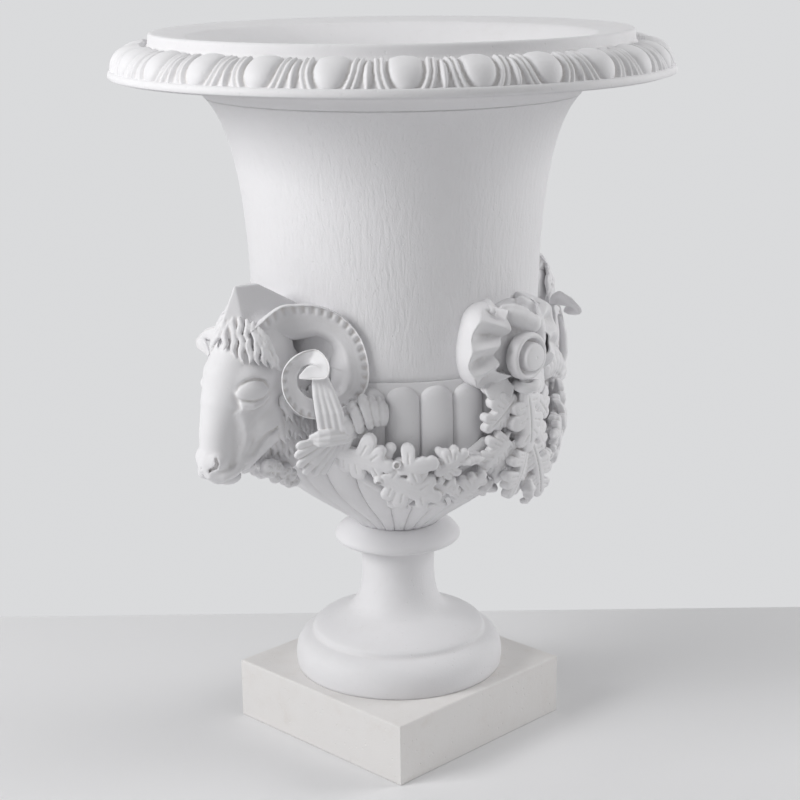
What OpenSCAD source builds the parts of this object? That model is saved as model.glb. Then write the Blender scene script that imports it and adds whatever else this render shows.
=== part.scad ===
/* [Plinth and foot] */
// Width of the square plinth
plinth_width = 330; // [316:1:380]
// Height of the square plinth
plinth_height = 88; // [70:1:120]
// Height of the turned foot between plinth and collar
foot_height = 190; // [175:1:230]
// Radius of the rounded torus at the bottom of the foot
torus_radius = 150.5; // [140:0.5:154]
// Radius of the stem at its narrowest
stem_radius = 52.4; // [46:0.2:60]
// Height of the collar under the bowl
collar_height = 29; // [26:0.5:40]
// Radius of the collar at its widest
collar_radius = 90.3; // [84:0.1:104]

/* [Bowl and bell] */
// Height of the gadrooned bowl
bowl_height = 252; // [240:1:280]
// Radius over the crests of the gadroons
bowl_radius = 211; // [207:0.5:218]
// Number of gadroons round the bowl
gadroon_count = 28; // [20:2:36]
// Depth of the valleys between the gadroons
gadroon_depth = 10; // [6:0.5:13]
// Height of the plain flared bell
bell_height = 356; // [300:1:420]
// Radius of the bell at its foot
bell_base_radius = 197.5; // [194:0.5:203]
// Radius of the bell under the rim
bell_top_radius = 255.5; // [240:0.5:275]
// Thickness of the bell and rim walls
wall = 30; // [22:0.5:40]
// Height of the soil space floor above the underside of the bowl
floor_height = 65; // [50:1:80]

/* [Rim] */
// Height of the rim above the bell
rim_height = 85; // [78:1:95]
// Outer radius of the rim
rim_radius = 381; // [365:1:410]
// Outer radius of the flat lip on top
lip_radius = 324; // [316:1:336]
// Radius of the open mouth
mouth_radius = 275; // [262:1:290]
// Number of eggs round the rim
egg_count = 26; // [22:2:28]
// Radius of the round face of each egg
egg_radius = 26.6; // [24:0.2:28]

/* [Ornament] */
// Height of a ram's head from its chin to the top of its crest
head_height = 257; // [241:1:266]
// Length of a large oak leaf
leaf_length = 70; // [62:1:78]
// Depth of a frill pleat on the bows
pleat_depth = 9; // [4:0.5:14]
// Thickness of the oak leaves
leaf_thickness = 9; // [6:0.5:12]
// Radius of the boss drum
boss_radius = 31; // [26:0.5:36]
// Radius of the dowels that hold heads and bosses
dowel_radius = 6; // [4:0.5:8]

/* [Fixings] */
// Outer radius of the hollow tie tube
tube_radius = 12; // [9:0.5:16]
// Radius of the drain bore in the tie tube
drain_radius = 8; // [5:0.5:8.5]
// Clearance between pieces that fit into each other
clearance = 0.3; // [0.1:0.05:0.6]

/* [Hidden] */
$fn = 96;

// Levels of the sections, from the ground up
foot_z = plinth_height;
collar_z = foot_z + foot_height;
bowl_z = collar_z + collar_height;
seam_z = bowl_z + bowl_height;
rim_z = seam_z + bell_height;
top_z = rim_z + rim_height;
floor_z = bowl_z + floor_height;

// Registers: a spigot of one section stands in a socket of the next
register_height = 6;
foot_spigot_radius = torus_radius * 0.4;
collar_seat_radius = stem_radius * 1.088;
collar_socket_radius = stem_radius * 0.573;
bowl_seat_radius = collar_radius * 0.664;
bowl_socket_radius = collar_radius * 0.443;
tongue_width = 12;
tube_hole = tube_radius + 1.5;

// Fixings
nut_height = 12;
nut_radius = tube_radius + 9;
washer_height = 5;
washer_radius = tube_radius + 24;
seal_height = 3;
pocket_radius = washer_radius + 8;
pocket_depth = 36;
dowel_length = 46;
dowel_sink = 18;

function bezier(p, t) = pow(1 - t, 3) * p[0] + 3 * t * pow(1 - t, 2) * p[1]
    + 3 * t * t * (1 - t) * p[2] + pow(t, 3) * p[3];
function curve(p, n) = [for (i = [0:n]) bezier(p, i / n)];
function reversed(list) = [for (i = [len(list) - 1:-1:0]) list[i]];
function unit(v) = v / norm(v);
function mix(a, b, t) = a + (b - a) * t;

// Turned profiles, as [radius, height]
foot_rise = foot_height / 190;
foot_width = torus_radius / 150.5;
foot_torus = curve([[148.5 * foot_width, 0], [154 * foot_width, 26 * foot_rise],
    [147.5 * foot_width, 43 * foot_rise], [126 * foot_width, 53 * foot_rise]], 12);
foot_dome = curve([[124 * foot_width, 57.5 * foot_rise], [120 * foot_width, 66 * foot_rise],
    [94 * foot_width, 71 * foot_rise], [stem_radius * 1.393, 84 * foot_rise]], 8);
foot_stem = curve([[stem_radius * 1.393, 84 * foot_rise], [stem_radius * 1.088, 95 * foot_rise],
    [stem_radius * 0.981, 122 * foot_rise], [stem_radius, 150 * foot_rise]], 10);
foot_neck = curve([[stem_radius, 150 * foot_rise], [stem_radius * 1.01, 165 * foot_rise],
    [stem_radius * 1.02, 180 * foot_rise], [collar_seat_radius, foot_height]], 5);
collar_bulge = curve([[collar_radius * 0.731, 0], [collar_radius * 1.172, -collar_height * 0.172], [collar_radius, collar_height * 0.73],
    [bowl_seat_radius, collar_height]], 16);
bell_outside = [[bell_base_radius, 0], [bell_base_radius + 1.5, bell_height * 0.395],
    [bell_base_radius + 6.5, bell_height * 0.855], [bell_top_radius, bell_height]];

// Crest line of the bowl from its seat to the arched tops, as [radius, height, fall to the valley, closing of the arch]
band_radius = bell_base_radius + 1.5;
bowl_rise = bowl_height / 252;
arch_start = 228 * bowl_rise;
arch_rise = 18 * bowl_rise;
bowl_low = [[bowl_seat_radius, 0], [bowl_radius * 0.46, 35 * bowl_rise], [bowl_radius * 0.9, 76 * bowl_rise],
    [bowl_radius * 0.986, 143 * bowl_rise]];
bowl_rows = concat(
    [for (i = [0:4]) let (p = bezier(bowl_low, i / 4))
        [p[0], p[1], i == 0 ? 0 : gadroon_depth * min(1, 0.4 + i / 4), 0]],
    [[bowl_radius, 181 * bowl_rise, gadroon_depth, 0]],
    [for (e = [0, 0.75, 1]) [band_radius + gadroon_depth, arch_start + arch_rise * e, gadroon_depth, e]],
    [[band_radius, bowl_height, 0, 1]]);

module ring_cut(z, inner, outer, depth) {
    translate([0, 0, z]) difference() {
        cylinder(r = outer, h = depth);
        translate([0, 0, -1]) cylinder(r = inner, h = depth + 2);
    }
}

module plinth() {
    arris = 2;
    color("whitesmoke") difference() {
        union() {
            translate([-plinth_width / 2, -plinth_width / 2, 0])
                cube([plinth_width, plinth_width, plinth_height - arris]);
            translate([0, 0, plinth_height - arris])
                linear_extrude(arris, scale = 1 - 2 * arris / plinth_width) square(plinth_width, center = true);
        }
        translate([0, 0, plinth_height - register_height - clearance])
            cylinder(r = foot_spigot_radius + clearance, h = register_height + clearance + 1);
        translate([0, 0, -1]) cylinder(r = tube_hole, h = plinth_height + 2);
        translate([0, 0, -1]) cylinder(r = pocket_radius, h = pocket_depth + 1);
    }
}

module foot() {
    profile = concat([[tube_hole, -register_height], [foot_spigot_radius, -register_height], [foot_spigot_radius, 0]],
        foot_torus, [[124 * foot_width, 53 * foot_rise]], foot_dome, [for (i = [1:10]) foot_stem[i]], [for (i = [1:5]) foot_neck[i]],
        [[collar_socket_radius, foot_height], [collar_socket_radius, foot_height + register_height],
         [tube_hole, foot_height + register_height]]);
    color("whitesmoke") translate([0, 0, foot_z]) rotate_extrude() polygon(profile);
}

module collar() {
    socket = collar_socket_radius + clearance;
    depth = register_height + clearance;
    profile = concat([[tube_hole, depth], [socket, depth], [socket, 0]], collar_bulge,
        [[bowl_socket_radius, collar_height], [bowl_socket_radius, collar_height + register_height],
         [tube_hole, collar_height + register_height]]);
    color("whitesmoke") translate([0, 0, collar_z]) rotate_extrude() polygon(profile);
}

// Outer skin of the bowl: each gadroon is round across and closes in an arch at its top
module gadrooned_body() {
    across = [-1, -0.6, 0, 0.6];
    columns = gadroon_count * len(across);
    rows = len(bowl_rows);
    gadroon_turn = 2.4;
    points = [for (row = bowl_rows, g = [0:gadroon_count - 1], u = across)
        let (swell = sqrt(max(0, 1 - u * u - row[3] * row[3])),
             radius = row[0] - row[2] * (1 - swell),
             turn = gadroon_turn + 360 / gadroon_count * (g + 0.5 + u / 2))
        [radius * cos(turn), radius * sin(turn), row[1]]];
    base = [for (c = [0:columns - 1]) c];
    lid = [for (c = [0:columns - 1]) (rows - 1) * columns + c];
    sides = [for (r = [0:rows - 2], c = [0:columns - 1])
        let (a = r * columns + c, b = r * columns + (c + 1) % columns)
        [a, a + columns, b + columns, b]];
    polyhedron(points, concat([base], [reversed(lid)],
        [for (f = sides) [f[0], f[1], f[2]]], [for (f = sides) [f[0], f[2], f[3]]]));
}

module bowl() {
    inner = bell_base_radius - wall;
    hollow = curve([[inner, bowl_height + 1], [inner, bowl_height * 0.6], [inner - 12, floor_height + 12],
        [70, floor_height]], 14);
    middle = bell_base_radius - wall / 2;
    depth = register_height + clearance;
    color("whitesmoke") translate([0, 0, bowl_z]) {
        difference() {
            gadrooned_body();
            rotate_extrude() polygon(concat(hollow, [[0, floor_height], [0, bowl_height + 1]]));
            translate([0, 0, -1]) cylinder(r = tube_hole, h = floor_height + 2);
            translate([0, 0, -1]) cylinder(r = bowl_socket_radius + clearance, h = depth + 1);
        }
        ring_cut(bowl_height - 0.01, middle - tongue_width / 2, middle + tongue_width / 2, register_height);
    }
}

module bell() {
    outside = curve(bell_outside, 24);
    inside = [for (p = reversed(outside)) [p[0] - wall, p[1]]];
    low = bell_base_radius - wall / 2;
    high = bell_top_radius - wall / 2;
    half = tongue_width / 2;
    color("whitesmoke") difference() {
        translate([0, 0, seam_z]) rotate_extrude() polygon(concat(outside,
            [[high + half, bell_height], [high + half, bell_height + register_height],
             [high - half, bell_height + register_height], [high - half, bell_height]],
            inside,
            [[low - half - clearance, 0], [low - half - clearance, register_height + clearance],
             [low + half + clearance, register_height + clearance], [low + half + clearance, 0]]));
        dowel_holes();
    }
}

// Ovolo of the rim: a quarter round with its crest on the outer radius
crest = 45;
ground = 38;
ovolo = [rim_radius - crest, rim_z + 28];
function on_ovolo(angle, lift) = ovolo + (ground + lift) * [cos(angle), sin(angle)];
function turned(p, turn) = [p[0] * cos(turn), p[0] * sin(turn), p[1]];

// Raised bead lying on the ovolo; each stop of the route is [angle on the ovolo, turn, half width]
module bead(route, lift, crown) {
    n = len(route);
    sink = 3;
    degree = PI / 180;
    sections = [for (i = [0:n - 1])
        let (a = route[max(i - 1, 0)], b = route[min(i + 1, n - 1)], p = route[i],
             up = (b[0] - a[0]) * ground, side = (b[1] - a[1]) * ovolo[0],
             l = norm([up, side]), half = p[2],
             da = -side / l * half / ground / degree, dt = up / l * half / ovolo[0] / degree)
        each [turned(on_ovolo(p[0] - da, -sink), p[1] - dt), turned(on_ovolo(p[0] + da, -sink), p[1] + dt),
              turned(on_ovolo(p[0] + da * crown, lift), p[1] + dt * crown),
              turned(on_ovolo(p[0] - da * crown, lift), p[1] - dt * crown)]];
    polyhedron(sections, concat(
        [for (i = [0:n - 2], j = [0:3]) [4 * i + j, 4 * i + (j + 1) % 4, 4 * (i + 1) + (j + 1) % 4]],
        [for (i = [0:n - 2], j = [0:3]) [4 * i + j, 4 * (i + 1) + (j + 1) % 4, 4 * (i + 1) + j]],
        [[3, 2, 1], [3, 1, 0]],
        [[4 * n - 4, 4 * n - 3, 4 * n - 2], [4 * n - 4, 4 * n - 2, 4 * n - 1]]));
}

module rim() {
    inner = bell_top_radius - wall;
    middle = bell_top_radius - wall / 2;
    half = tongue_width / 2 + clearance;
    depth = register_height + clearance;
    soffit = curve([[bell_top_radius, 0], [bell_top_radius + 8, 16], [bell_top_radius + 36, 27],
        [rim_radius - 30, 27]], 8);
    throat = curve([[mouth_radius, rim_height - 7], [mouth_radius - 20, rim_height - 24],
        [inner + 12, 40], [inner, 0]], 10);
    frame = [for (i = [0:5]) let (a = 180 + 36 * i) [52 + 42 * sin(a), 4.85 * cos(a), 4.4]];
    dart = [[80, 0, 5], [42, 0, 9], [15, 0, 1]];
    pitch = 360 / egg_count;
    egg_turn = pitch / 2 - 1;
    color("whitesmoke") union() {
        rotate_extrude() union() {
            translate([0, rim_z]) polygon(concat(
                [[middle - half, 0], [middle - half, depth], [middle + half, depth], [middle + half, 0]],
                soffit,
                [[rim_radius - 2, 27], [rim_radius, 29], [rim_radius - 0.7, 36], [rim_radius - 8, 38],
                 [lip_radius + 2, rim_height - 14], [lip_radius, rim_height],
                 [mouth_radius + 15, rim_height - 3]],
                throat));
            translate(ovolo) circle(r = ground);
        }
        for (k = [0:egg_count - 1]) rotate([0, 0, egg_turn + pitch * k]) {
            translate([ovolo[0], 0, ovolo[1]]) rotate([0, -52, 0])
                translate([crest + 1 - egg_radius, 0, 0]) sphere(r = egg_radius);
            bead(frame, 5, 0.5);
            rotate([0, 0, pitch / 2]) bead(dart, 5, 0.1);
        }
    }
}

// Space that the walls take, grown by the clearance; ornament is cut back to it
module wall_space(grow = clearance) {
    sides = 56;
    slack = 1 / cos(180 / sides);
    bell_points = curve(bell_outside, 5);
    rotate_extrude($fn = sides) polygon(concat([[0, bowl_z]],
        [for (r = bowl_rows) [(r[0] + grow) * slack, bowl_z + r[1]]],
        [for (p = bell_points) [(p[0] + grow) * slack, seam_z + p[1]]], [[0, rim_z]]));
}

// The four quarters and the two fronts share their forms; local x points outwards from the axis
module quarter(index) {
    mirror([index < 2 ? 1 : 0, 0, 0]) mirror([0, index % 2 == 0 ? 1 : 0, 0]) children();
}
module at_seam() {
    translate([bell_base_radius, 0, seam_z]) children();
}
module ram_side(index) {
    rotate([0, 0, index == 0 ? 180 : 0]) at_seam() children();
}
module at_ram() {
    at_seam() scale(head_height / 257) children();
}
module bow_side(index) {
    rotate([0, 0, index == 0 ? -90 : 90]) at_seam() children();
}

// Frame with its x axis along a direction and its z axis as near as can be to a given one
module aimed(at, along, upright) {
    x = unit(along);
    y = unit(cross(upright, x));
    z = cross(x, y);
    multmatrix([[x[0], y[0], z[0], at[0]], [x[1], y[1], z[1], at[1]], [x[2], y[2], z[2], at[2]], [0, 0, 0, 1]])
        children();
}

// Chain of hulls between sections; a stop is [place, half width, half thickness], the width lies across upright
module chain(stops, upright, sides = 8) {
    n = len(stops);
    rings = [for (i = [0:n - 1])
        let (x = unit(stops[min(i + 1, n - 1)][0] - stops[max(i - 1, 0)][0]), y = unit(cross(upright, x)),
             z = cross(x, y))
        [for (j = [0:sides - 1]) let (a = 360 / sides * (j + 0.5))
            stops[i][0] + y * stops[i][1] * cos(a) + z * stops[i][2] * sin(a)]];
    for (i = [0:n - 2]) hull() polyhedron(concat(rings[i], rings[i + 1]), concat(
        [[for (j = [0:sides - 1]) j]], [[for (j = [sides - 1:-1:0]) sides + j]],
        [for (j = [0:sides - 1]) [j, sides + j, sides + (j + 1) % sides, (j + 1) % sides]]));
}

// Ram's head: sections from the poll to the chin, as [front, back, half width] with [outwards, height]
head_sections = [
    [[92, 96], [-10, 92], 40], [[112, 70], [-12, 60], 50], [[124, 54], [-10, 30], 54],
    [[138, 32], [0, 0], 55], [[149, 2], [14, -36], 50], [[155, -24], [28, -66], 42],
    [[160, -50], [50, -84], 33], [[164, -76], [76, -102], 26], [[165, -95], [92, -116], 23],
    [[154, -113], [104, -124], 19], [[136, -124], [116, -128], 10]];

module head_form(grow = 0) {
    count = 12;
    rings = [for (s = head_sections)
        let (middle = (s[0] + s[1]) / 2, reach = s[0] - s[1], l = norm(reach), along = reach / l)
        [for (k = [0:count - 1]) let (a = 360 / count * k, c = cos(a), q = sin(a),
            out = sign(c) * pow(abs(c), 0.9) * (l / 2 + grow), side = sign(q) * pow(abs(q), 0.8) * (s[2] + grow),
            lean = 1 - 0.22 * max(0, c))
            [middle[0] + along[0] * out, side * lean, middle[1] + along[1] * out]]];
    n = len(rings);
    sides = [for (i = [0:n - 2], j = [0:count - 1])
        [i * count + j, i * count + (j + 1) % count, (i + 1) * count + (j + 1) % count, (i + 1) * count + j]];
    polyhedron([for (r = rings) each r], concat(
        [[for (j = [count - 1:-1:0]) j]], [[for (j = [0:count - 1]) (n - 1) * count + j]],
        [for (f = sides) [f[0], f[1], f[2]]], [for (f = sides) [f[0], f[2], f[3]]]));
}

module blob(at, size, sides = 6) {
    translate(at) scale(size) sphere(r = 1, $fn = sides);
}

// Neck wool below the horn
module wool_form(grow = 0) {
    for (side = [-1, 1], k = [0:1]) hull() {
        blob([46 - 10 * k, side * (36 - 18 * k), -44 - 36 * k], [20 + grow, 22 + grow, 20 + grow]);
        blob([45 - 12 * k, side * (53 - 22 * k), -62 - 28 * k], [17 + grow, 19 + grow, 18 + grow]);
        blob([29 - 10 * k, side * (58 - 26 * k), -86 - 28 * k], [16 + grow, 18 + grow, 18 + grow]);
    }
}

module ram_head(index) {
    color("whitesmoke") ram_side(index) difference() {
        scale(head_height / 257) union() {
            head_form();
            wool_form();
            // Crest from the poll back to the bell
            hull() {
                blob([84, 0, 124], [5, 6, 6]);
                blob([46, 0, 119], [5, 6, 6]);
                blob([0, 0, 96], [8, 20, 10]);
                blob([80, 0, 92], [16, 34, 10]);
                blob([20, 0, 84], [30, 46, 12]);
            }
            for (side = [-1, 1]) {
                // Eyeball under its brow, and the swell of the cheek
                blob([108, side * 41, 1], [15, 13, 12]);
                blob([111, side * 43, 17], [24, 10, 8]);
                blob([80, side * 41, -46], [24, 9, 20]);
                // Nostril wing
                blob([154, side * 17, -88], [10, 9, 12]);
                // Curled fringe
                for (k = [0:1]) hull() {
                    blob([114 - 18 * k, side * (11 + 20 * k), 78 - 3 * k], [8, 9, 12], 5);
                    blob([121 - 20 * k, side * (14 + 20 * k), 55 - 4 * k], [7, 8, 10], 5);
                }
            }
        }
        translate([-bell_base_radius, 0, -seam_z]) wall_space();
        for (side = [0, 1]) mirror([0, side, 0]) scale(head_height / 257) horn_form(clearance);
        head_dowel_pair(clearance);
    }
}

// Horn: rises from the brow, turns down against the wall and curls forward to a tip kicked outwards
horn_route = [[94, 28, 78], [66, 40, 91], [28, 60, 90], [6, 86, 80], [-10, 106, 56], [-12, 114, 24], [-4, 113, -5],
    [16, 107, -26], [42, 98, -33], [64, 90, -22], [75, 85, -2], [77, 86, 18], [70, 93, 38], [57, 104, 46],
    [50, 118, 40], [52, 135, 31]];
function horn_point(t) = let (n = len(horn_route) - 1, s = min(t * n, n - 0.0001), i = floor(s), u = s - i,
    a = horn_route[max(i - 1, 0)], b = horn_route[i], c = horn_route[i + 1], d = horn_route[min(i + 2, n)])
    0.5 * (2 * b + (c - a) * u + (2 * a - 5 * b + 4 * c - d) * u * u + (3 * b - a - 3 * c + d) * u * u * u);

module horn_form(grow = 0) {
    steps = 21;
    chain([for (i = [0:steps]) let (t = i / steps, size = t < 0.4 ? mix(18, 19.5, t / 0.4) : mix(19.5, 8, (t - 0.4) / 0.6),
        ridge = grow == 0 && i % 2 == 1 ? 0.94 : 1)
        [horn_point(t), size * ridge + grow, size * 0.64 + grow]], [0.25, 1, 0.1], 6);
}

module horn(index) {
    color("whitesmoke") quarter(index) difference() {
        at_ram() horn_form();
        wall_space();
    }
}

// Ribbon tie: a strap through the curl, a knot, a loop, and two tails; stops as in a chain
ribbon_strap = [[[52, 104, 14], 12, 3], [[60, 118, -8], 12, 4], [[54, 121, -36], 12, 4], [[24, 108, -60], 10, 4]];
ribbon_knot = [[[46, 92, -62], 8, 7], [[-6, 126, -52], 8, 7]];
ribbon_loop = [[[-2, 124, -50], 10, 5], [[-14, 138, -34], 17, 12], [[-26, 150, -22], 20, 13],
    [[-40, 156, -30], 16, 8]];
ribbon_tail = [[[0, 118, -62], 9, 6], [[-24, 134, -76], 16, 5]];
ribbon_fan = [[[38, 98, -60], 12, 7], [[43, 90, -86], 20, 7], [[36, 80, -110], 24, 7]];
function grown(stops, grow) = [for (s = stops) [s[0], s[1] + grow, s[2] + grow]];
module ribbon_form(grow = 0) {
    chain(grown(ribbon_strap, grow), [0.8, 0.6, 0], 6);
    chain(grown(ribbon_knot, grow), [0, 0, 1], 6);
    blob([20, 110, -56], [15 + grow, 13 + grow, 10 + grow]);
    for (part = [ribbon_loop, ribbon_tail]) chain(grown(part, grow), [0.6, 0.8, 0], 6);
    chain(grown(ribbon_fan, grow), [0.9, 0.4, 0], 6);
}

module ribbon(index) {
    color("whitesmoke") quarter(index) difference() {
        at_ram() ribbon_form();
        wall_space();
        at_ram() horn_form(clearance);
        at_ram() head_form(clearance);
        at_ram() wool_form(clearance);
    }
}

// Outline of an oak leaf with lobed sides, stem at the origin and tip on the x axis
leaf_side = [[0.08, 0.3], [0.3, 0.84], [0.44, 0.46], [0.68, 1]];
module leaf(at, along, normal, long, broad) {
    side = [for (p = leaf_side) [p[0] * long, p[1] * broad]];
    aimed(at, along, normal) linear_extrude(leaf_thickness, center = true)
        polygon(concat(side, [[long, 0]], [for (p = reversed(side)) [p[0], -p[1]]]));
}
module acorn(at, along, size) {
    tip = at + unit(along) * size * 1.3;
    hull() {
        blob(at, [size, size, size], 5);
        blob(tip, [size * 0.6, size * 0.6, size * 0.6], 5);
    }
}

// Places over the bowl, from the angle off the ram's axis, the height and the distance off the crests
crest_table = [for (r = bowl_rows) [r[1] - bowl_height, r[0]]];
function crest_at(z) = lookup(z, crest_table);
function slope_at(z) = unit([8, crest_at(z - 4) - crest_at(z + 4)]);
function normal_at(a, z) = let (n = slope_at(z)) [n[0] * cos(a), n[0] * sin(a), n[1]];
function over_bowl(a, z, off) = let (n = slope_at(z), r = crest_at(z) + off * n[0])
    [r * cos(a), r * sin(a), seam_z + z + off * n[1]];

// Oak garland: hangs from the ribbon tie to the boss, lowest in the middle; stops are [angle, height]
garland_ends = -80;
garland_route = [for (g = [[27, 0], [34, -28], [43, -49], [53, -54], [63, -41], [72, -21], [80, 2]])
    [g[0], garland_ends + g[1] * bowl_rise]];
leaf_width = leaf_length * 0.37;
module garland_form() {
    n = len(garland_route);
    chain([for (i = [0:n - 1]) let (g = garland_route[i])
        [over_bowl(g[0], g[1], 8), leaf_length * (i == 0 || i == n - 1 ? 0.2 : 0.37), leaf_length * 0.186]],
        [0.7, 0.7, 0], 6);
    for (k = [0:3], side = [-1, 1]) {
        s = 1.5 * k + (side > 0 ? 0.1 : 0.7);
        i = floor(s);
        g = mix(garland_route[i], garland_route[i + 1], s - i);
        normal = normal_at(g[0], g[1]);
        along = unit(over_bowl(garland_route[i + 1][0], garland_route[i + 1][1], 16)
            - over_bowl(garland_route[i][0], garland_route[i][1], 16));
        across = unit(cross(normal, along));
        leaf(over_bowl(g[0], g[1], 16) - 16 * along, 0.8 * along + side * 0.62 * across + 0.12 * normal, normal,
            leaf_length, leaf_width);
    }
    for (k = [2, 4]) let (g = garland_route[k])
        acorn(over_bowl(g[0] + 3, g[1] + 6, 25), [-sin(g[0]), cos(g[0]), k == 2 ? 0.4 : -0.5], leaf_length * 0.12);
}

module garland(index) {
    color("whitesmoke") quarter(index) difference() {
        garland_form();
        wall_space();
        at_ram() ribbon_form(clearance);
        at_ram() head_form(clearance);
        at_ram() wool_form(clearance);
        at_ram() horn_form(clearance);
        rotate([0, 0, 90]) at_seam() drop_form(clearance);
        // Room for the leaves of the drop and for the other garland
        translate([-1, bell_base_radius + 38, bowl_z]) cube([76, 60, bowl_height]);
        translate([-50, 0, bowl_z]) cube([52, 300, bowl_height]);
    }
}

// Boss on the bow: a drum on a neck with a round button, turned about its own axis
boss_height = 27;
module boss_form(grow = 0) {
    neck = 16 + grow;
    drum = boss_radius + grow;
    button = 18.5 + grow;
    back = 1 - grow;
    translate([0, 0, boss_height]) rotate([0, 90, 0]) rotate_extrude() polygon(concat(
        [[0, back], [neck, back]], curve([[neck, 34 - grow], [drum - 6, 35 - grow],
        [drum, 38 - grow], [drum, 46]], 6),
        [[drum, 58 + grow], [drum - 3, 61 + grow], [drum - 7, 61 + grow], [button + 1, 57 + grow],
         [button, 58 + grow]],
        curve([[button, 62 + grow], [button - 1, 68 + grow], [9, 71 + grow], [0, 71 + grow]], 6)));
}
module boss(index) {
    color("whitesmoke") difference() {
        bow_side(index) boss_form();
        bow_side(index) boss_dowel(clearance);
    }
}

// Bow: two pleated frills round the boss, a rolled knot above and two short petals below
frill_wide = 95;
frill_high = 71;
frill_low = 46;
module frill(start, end, pleats) {
    steps = 2 * pleats;
    function round_boss(i, scale, off, lift) =
        let (a = start + (end - start) * i / steps, y = frill_wide * scale * cos(a))
        [sqrt(pow(bell_base_radius + 2, 2) - y * y) - bell_base_radius + off + lift, y,
         boss_height + (sin(a) > 0 ? frill_high : frill_low) * (scale + (1 - scale) * 0.35 * (scale < 1 ? 1 : 0)) * sin(a)];
    for (i = [0:steps - 1]) {
        lifts = [i % 2 == 0 ? 0 : pleat_depth, i % 2 == 0 ? pleat_depth : 0];
        wedge = [for (k = [0, 1]) each [
            round_boss(i + k, 0.5, 40, lifts[k] * 0.7),
            round_boss(i + k, 1 + lifts[k] * 0.006, 11, lifts[k]),
            round_boss(i + k, 0.97, -8, 0),
            round_boss(i + k, 0.58, -8, 0)]];
        hull() polyhedron(wedge, [[0, 1, 2, 3], [7, 6, 5, 4], [0, 4, 5, 1], [1, 5, 6, 2], [2, 6, 7, 3], [3, 7, 4, 0]]);
    }
}
module bow(index) {
    color("whitesmoke") difference() {
        bow_side(index) union() {
            frill(104, 246, 4);
            frill(76, -66, 4);
            hull() {
                blob([40, -22, 80], [12, 12, 10]);
                blob([48, 12, 72], [12, 12, 9]);
                blob([2, 0, 66], [8, 20, 12]);
            }
            for (side = [-1, 1]) hull() {
                blob([30, side * 30, -6], [8, 9, 8]);
                blob([26, side * 46, -32], [8, 12, 8]);
                blob([0, side * 34, -12], [8, 12, 9]);
            }
        }
        wall_space();
        bow_side(index) boss_form(clearance);
        bow_side(index) drop_form(clearance);
        bow_side(index) binding_form(clearance);
    }
}

// Ring that binds the stems of the leaf drop under the boss
module binding_form(grow = 0) {
    translate([50, 0, -13]) rotate_extrude($fn = grow > 0 ? 32 : 96) translate([14, 0])
        circle(r = 6 + grow, $fn = grow > 0 ? 16 : 96);
}
module binding_ring(index) {
    color("whitesmoke") bow_side(index) binding_form();
}

// Leaf drop: stems through the ring, two tiers of oak leaves and an acorn
module drop_form(grow = 0) {
    translate([50, 0, -40]) cylinder(r = 8 - clearance + grow, h = 36, $fn = 8);
    hull() {
        blob([48, 0, -40], [12 + grow, 14 + grow, 12 + grow]);
        blob([46, 0, -84], [14 + grow, 26 + grow, 14 + grow]);
        blob([8, 0, -64], [10 + grow, 24 + grow, 24 + grow]);
    }
    hull() {
        blob([46, 0, -84], [12 + grow, 22 + grow, 12 + grow]);
        blob([50, 0, -148], [9 + grow, 12 + grow, 14 + grow]);
    }
}
module drop_leaf(at, along, normal, long) {
    leaf(at, along, normal, long, 21);
    // Raised middle vein
    if (abs(along[1]) < 0.8) hull() {
        translate(at + 5 * unit(normal)) cube(5, center = true);
        translate(at + 0.8 * long * unit(along) + 2 * unit(normal)) cube(4, center = true);
    }
}
module leaf_drop(index) {
    color("whitesmoke") difference() {
        bow_side(index) union() {
            drop_form();
            for (k = [-2:2]) drop_leaf([54, 6 * k, -34 - 3 * abs(k)], [0.12, 0.42 * k, -1], [1, 0.25 * k, 0.1],
                k == 0 ? 78 : 70);
            for (k = [-1:1]) drop_leaf([54 - 4 * abs(k), 9 * k, -92 - 4 * abs(k)], [0.1, 0.35 * k, -1],
                [1, 0.3 * k, 0.1], k == 0 ? 84 : 72);
            acorn([62, 4, -142], [0.2, 0.1, -1], 9);
        }
        wall_space();
        bow_side(index) boss_form(clearance);
        bow_side(index) binding_form(clearance);
    }
}

// Dowels: each stands half in the bell and half in the head or boss it carries
head_dowel_heights = [28, 66];
module dowel(z, grow) {
    translate([-dowel_sink - grow, 0, z]) rotate([0, 90, 0])
        cylinder(r = dowel_radius + grow, h = dowel_length + 2 * grow, $fn = 16);
}
module head_dowel_pair(grow = 0) {
    for (z = head_dowel_heights) dowel(z, grow);
}
module boss_dowel(grow = 0) {
    dowel(boss_height, grow);
}
module dowel_holes() {
    for (index = [0, 1]) {
        ram_side(index) head_dowel_pair(clearance);
        bow_side(index) boss_dowel(clearance);
    }
}
module head_dowels() {
    color("silver") for (index = [0, 1]) ram_side(index) head_dowel_pair();
}
module boss_dowels() {
    color("silver") for (index = [0, 1]) bow_side(index) boss_dowel();
}

// Tie: a hollow threaded tube draws the sections together and drains the soil space
seat_z = pocket_depth;
module washer(z, height, tone) {
    color(tone) translate([0, 0, z]) difference() {
        cylinder(r = washer_radius, h = height);
        translate([0, 0, -1]) cylinder(r = tube_radius + clearance, h = height + 2);
    }
}
module nut(z) {
    color("goldenrod") translate([0, 0, z]) difference() {
        cylinder(r = nut_radius, h = nut_height, $fn = 6);
        translate([0, 0, -1]) cylinder(r = tube_radius + clearance / 2, h = nut_height + 2);
    }
}
module tie_tube() {
    low = seat_z - washer_height - nut_height - 8;
    high = floor_z + seal_height + washer_height + nut_height + 5;
    color("goldenrod") translate([0, 0, low]) difference() {
        cylinder(r = tube_radius, h = high - low);
        translate([0, 0, -1]) cylinder(r = drain_radius, h = high - low + 2);
    }
}

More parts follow.
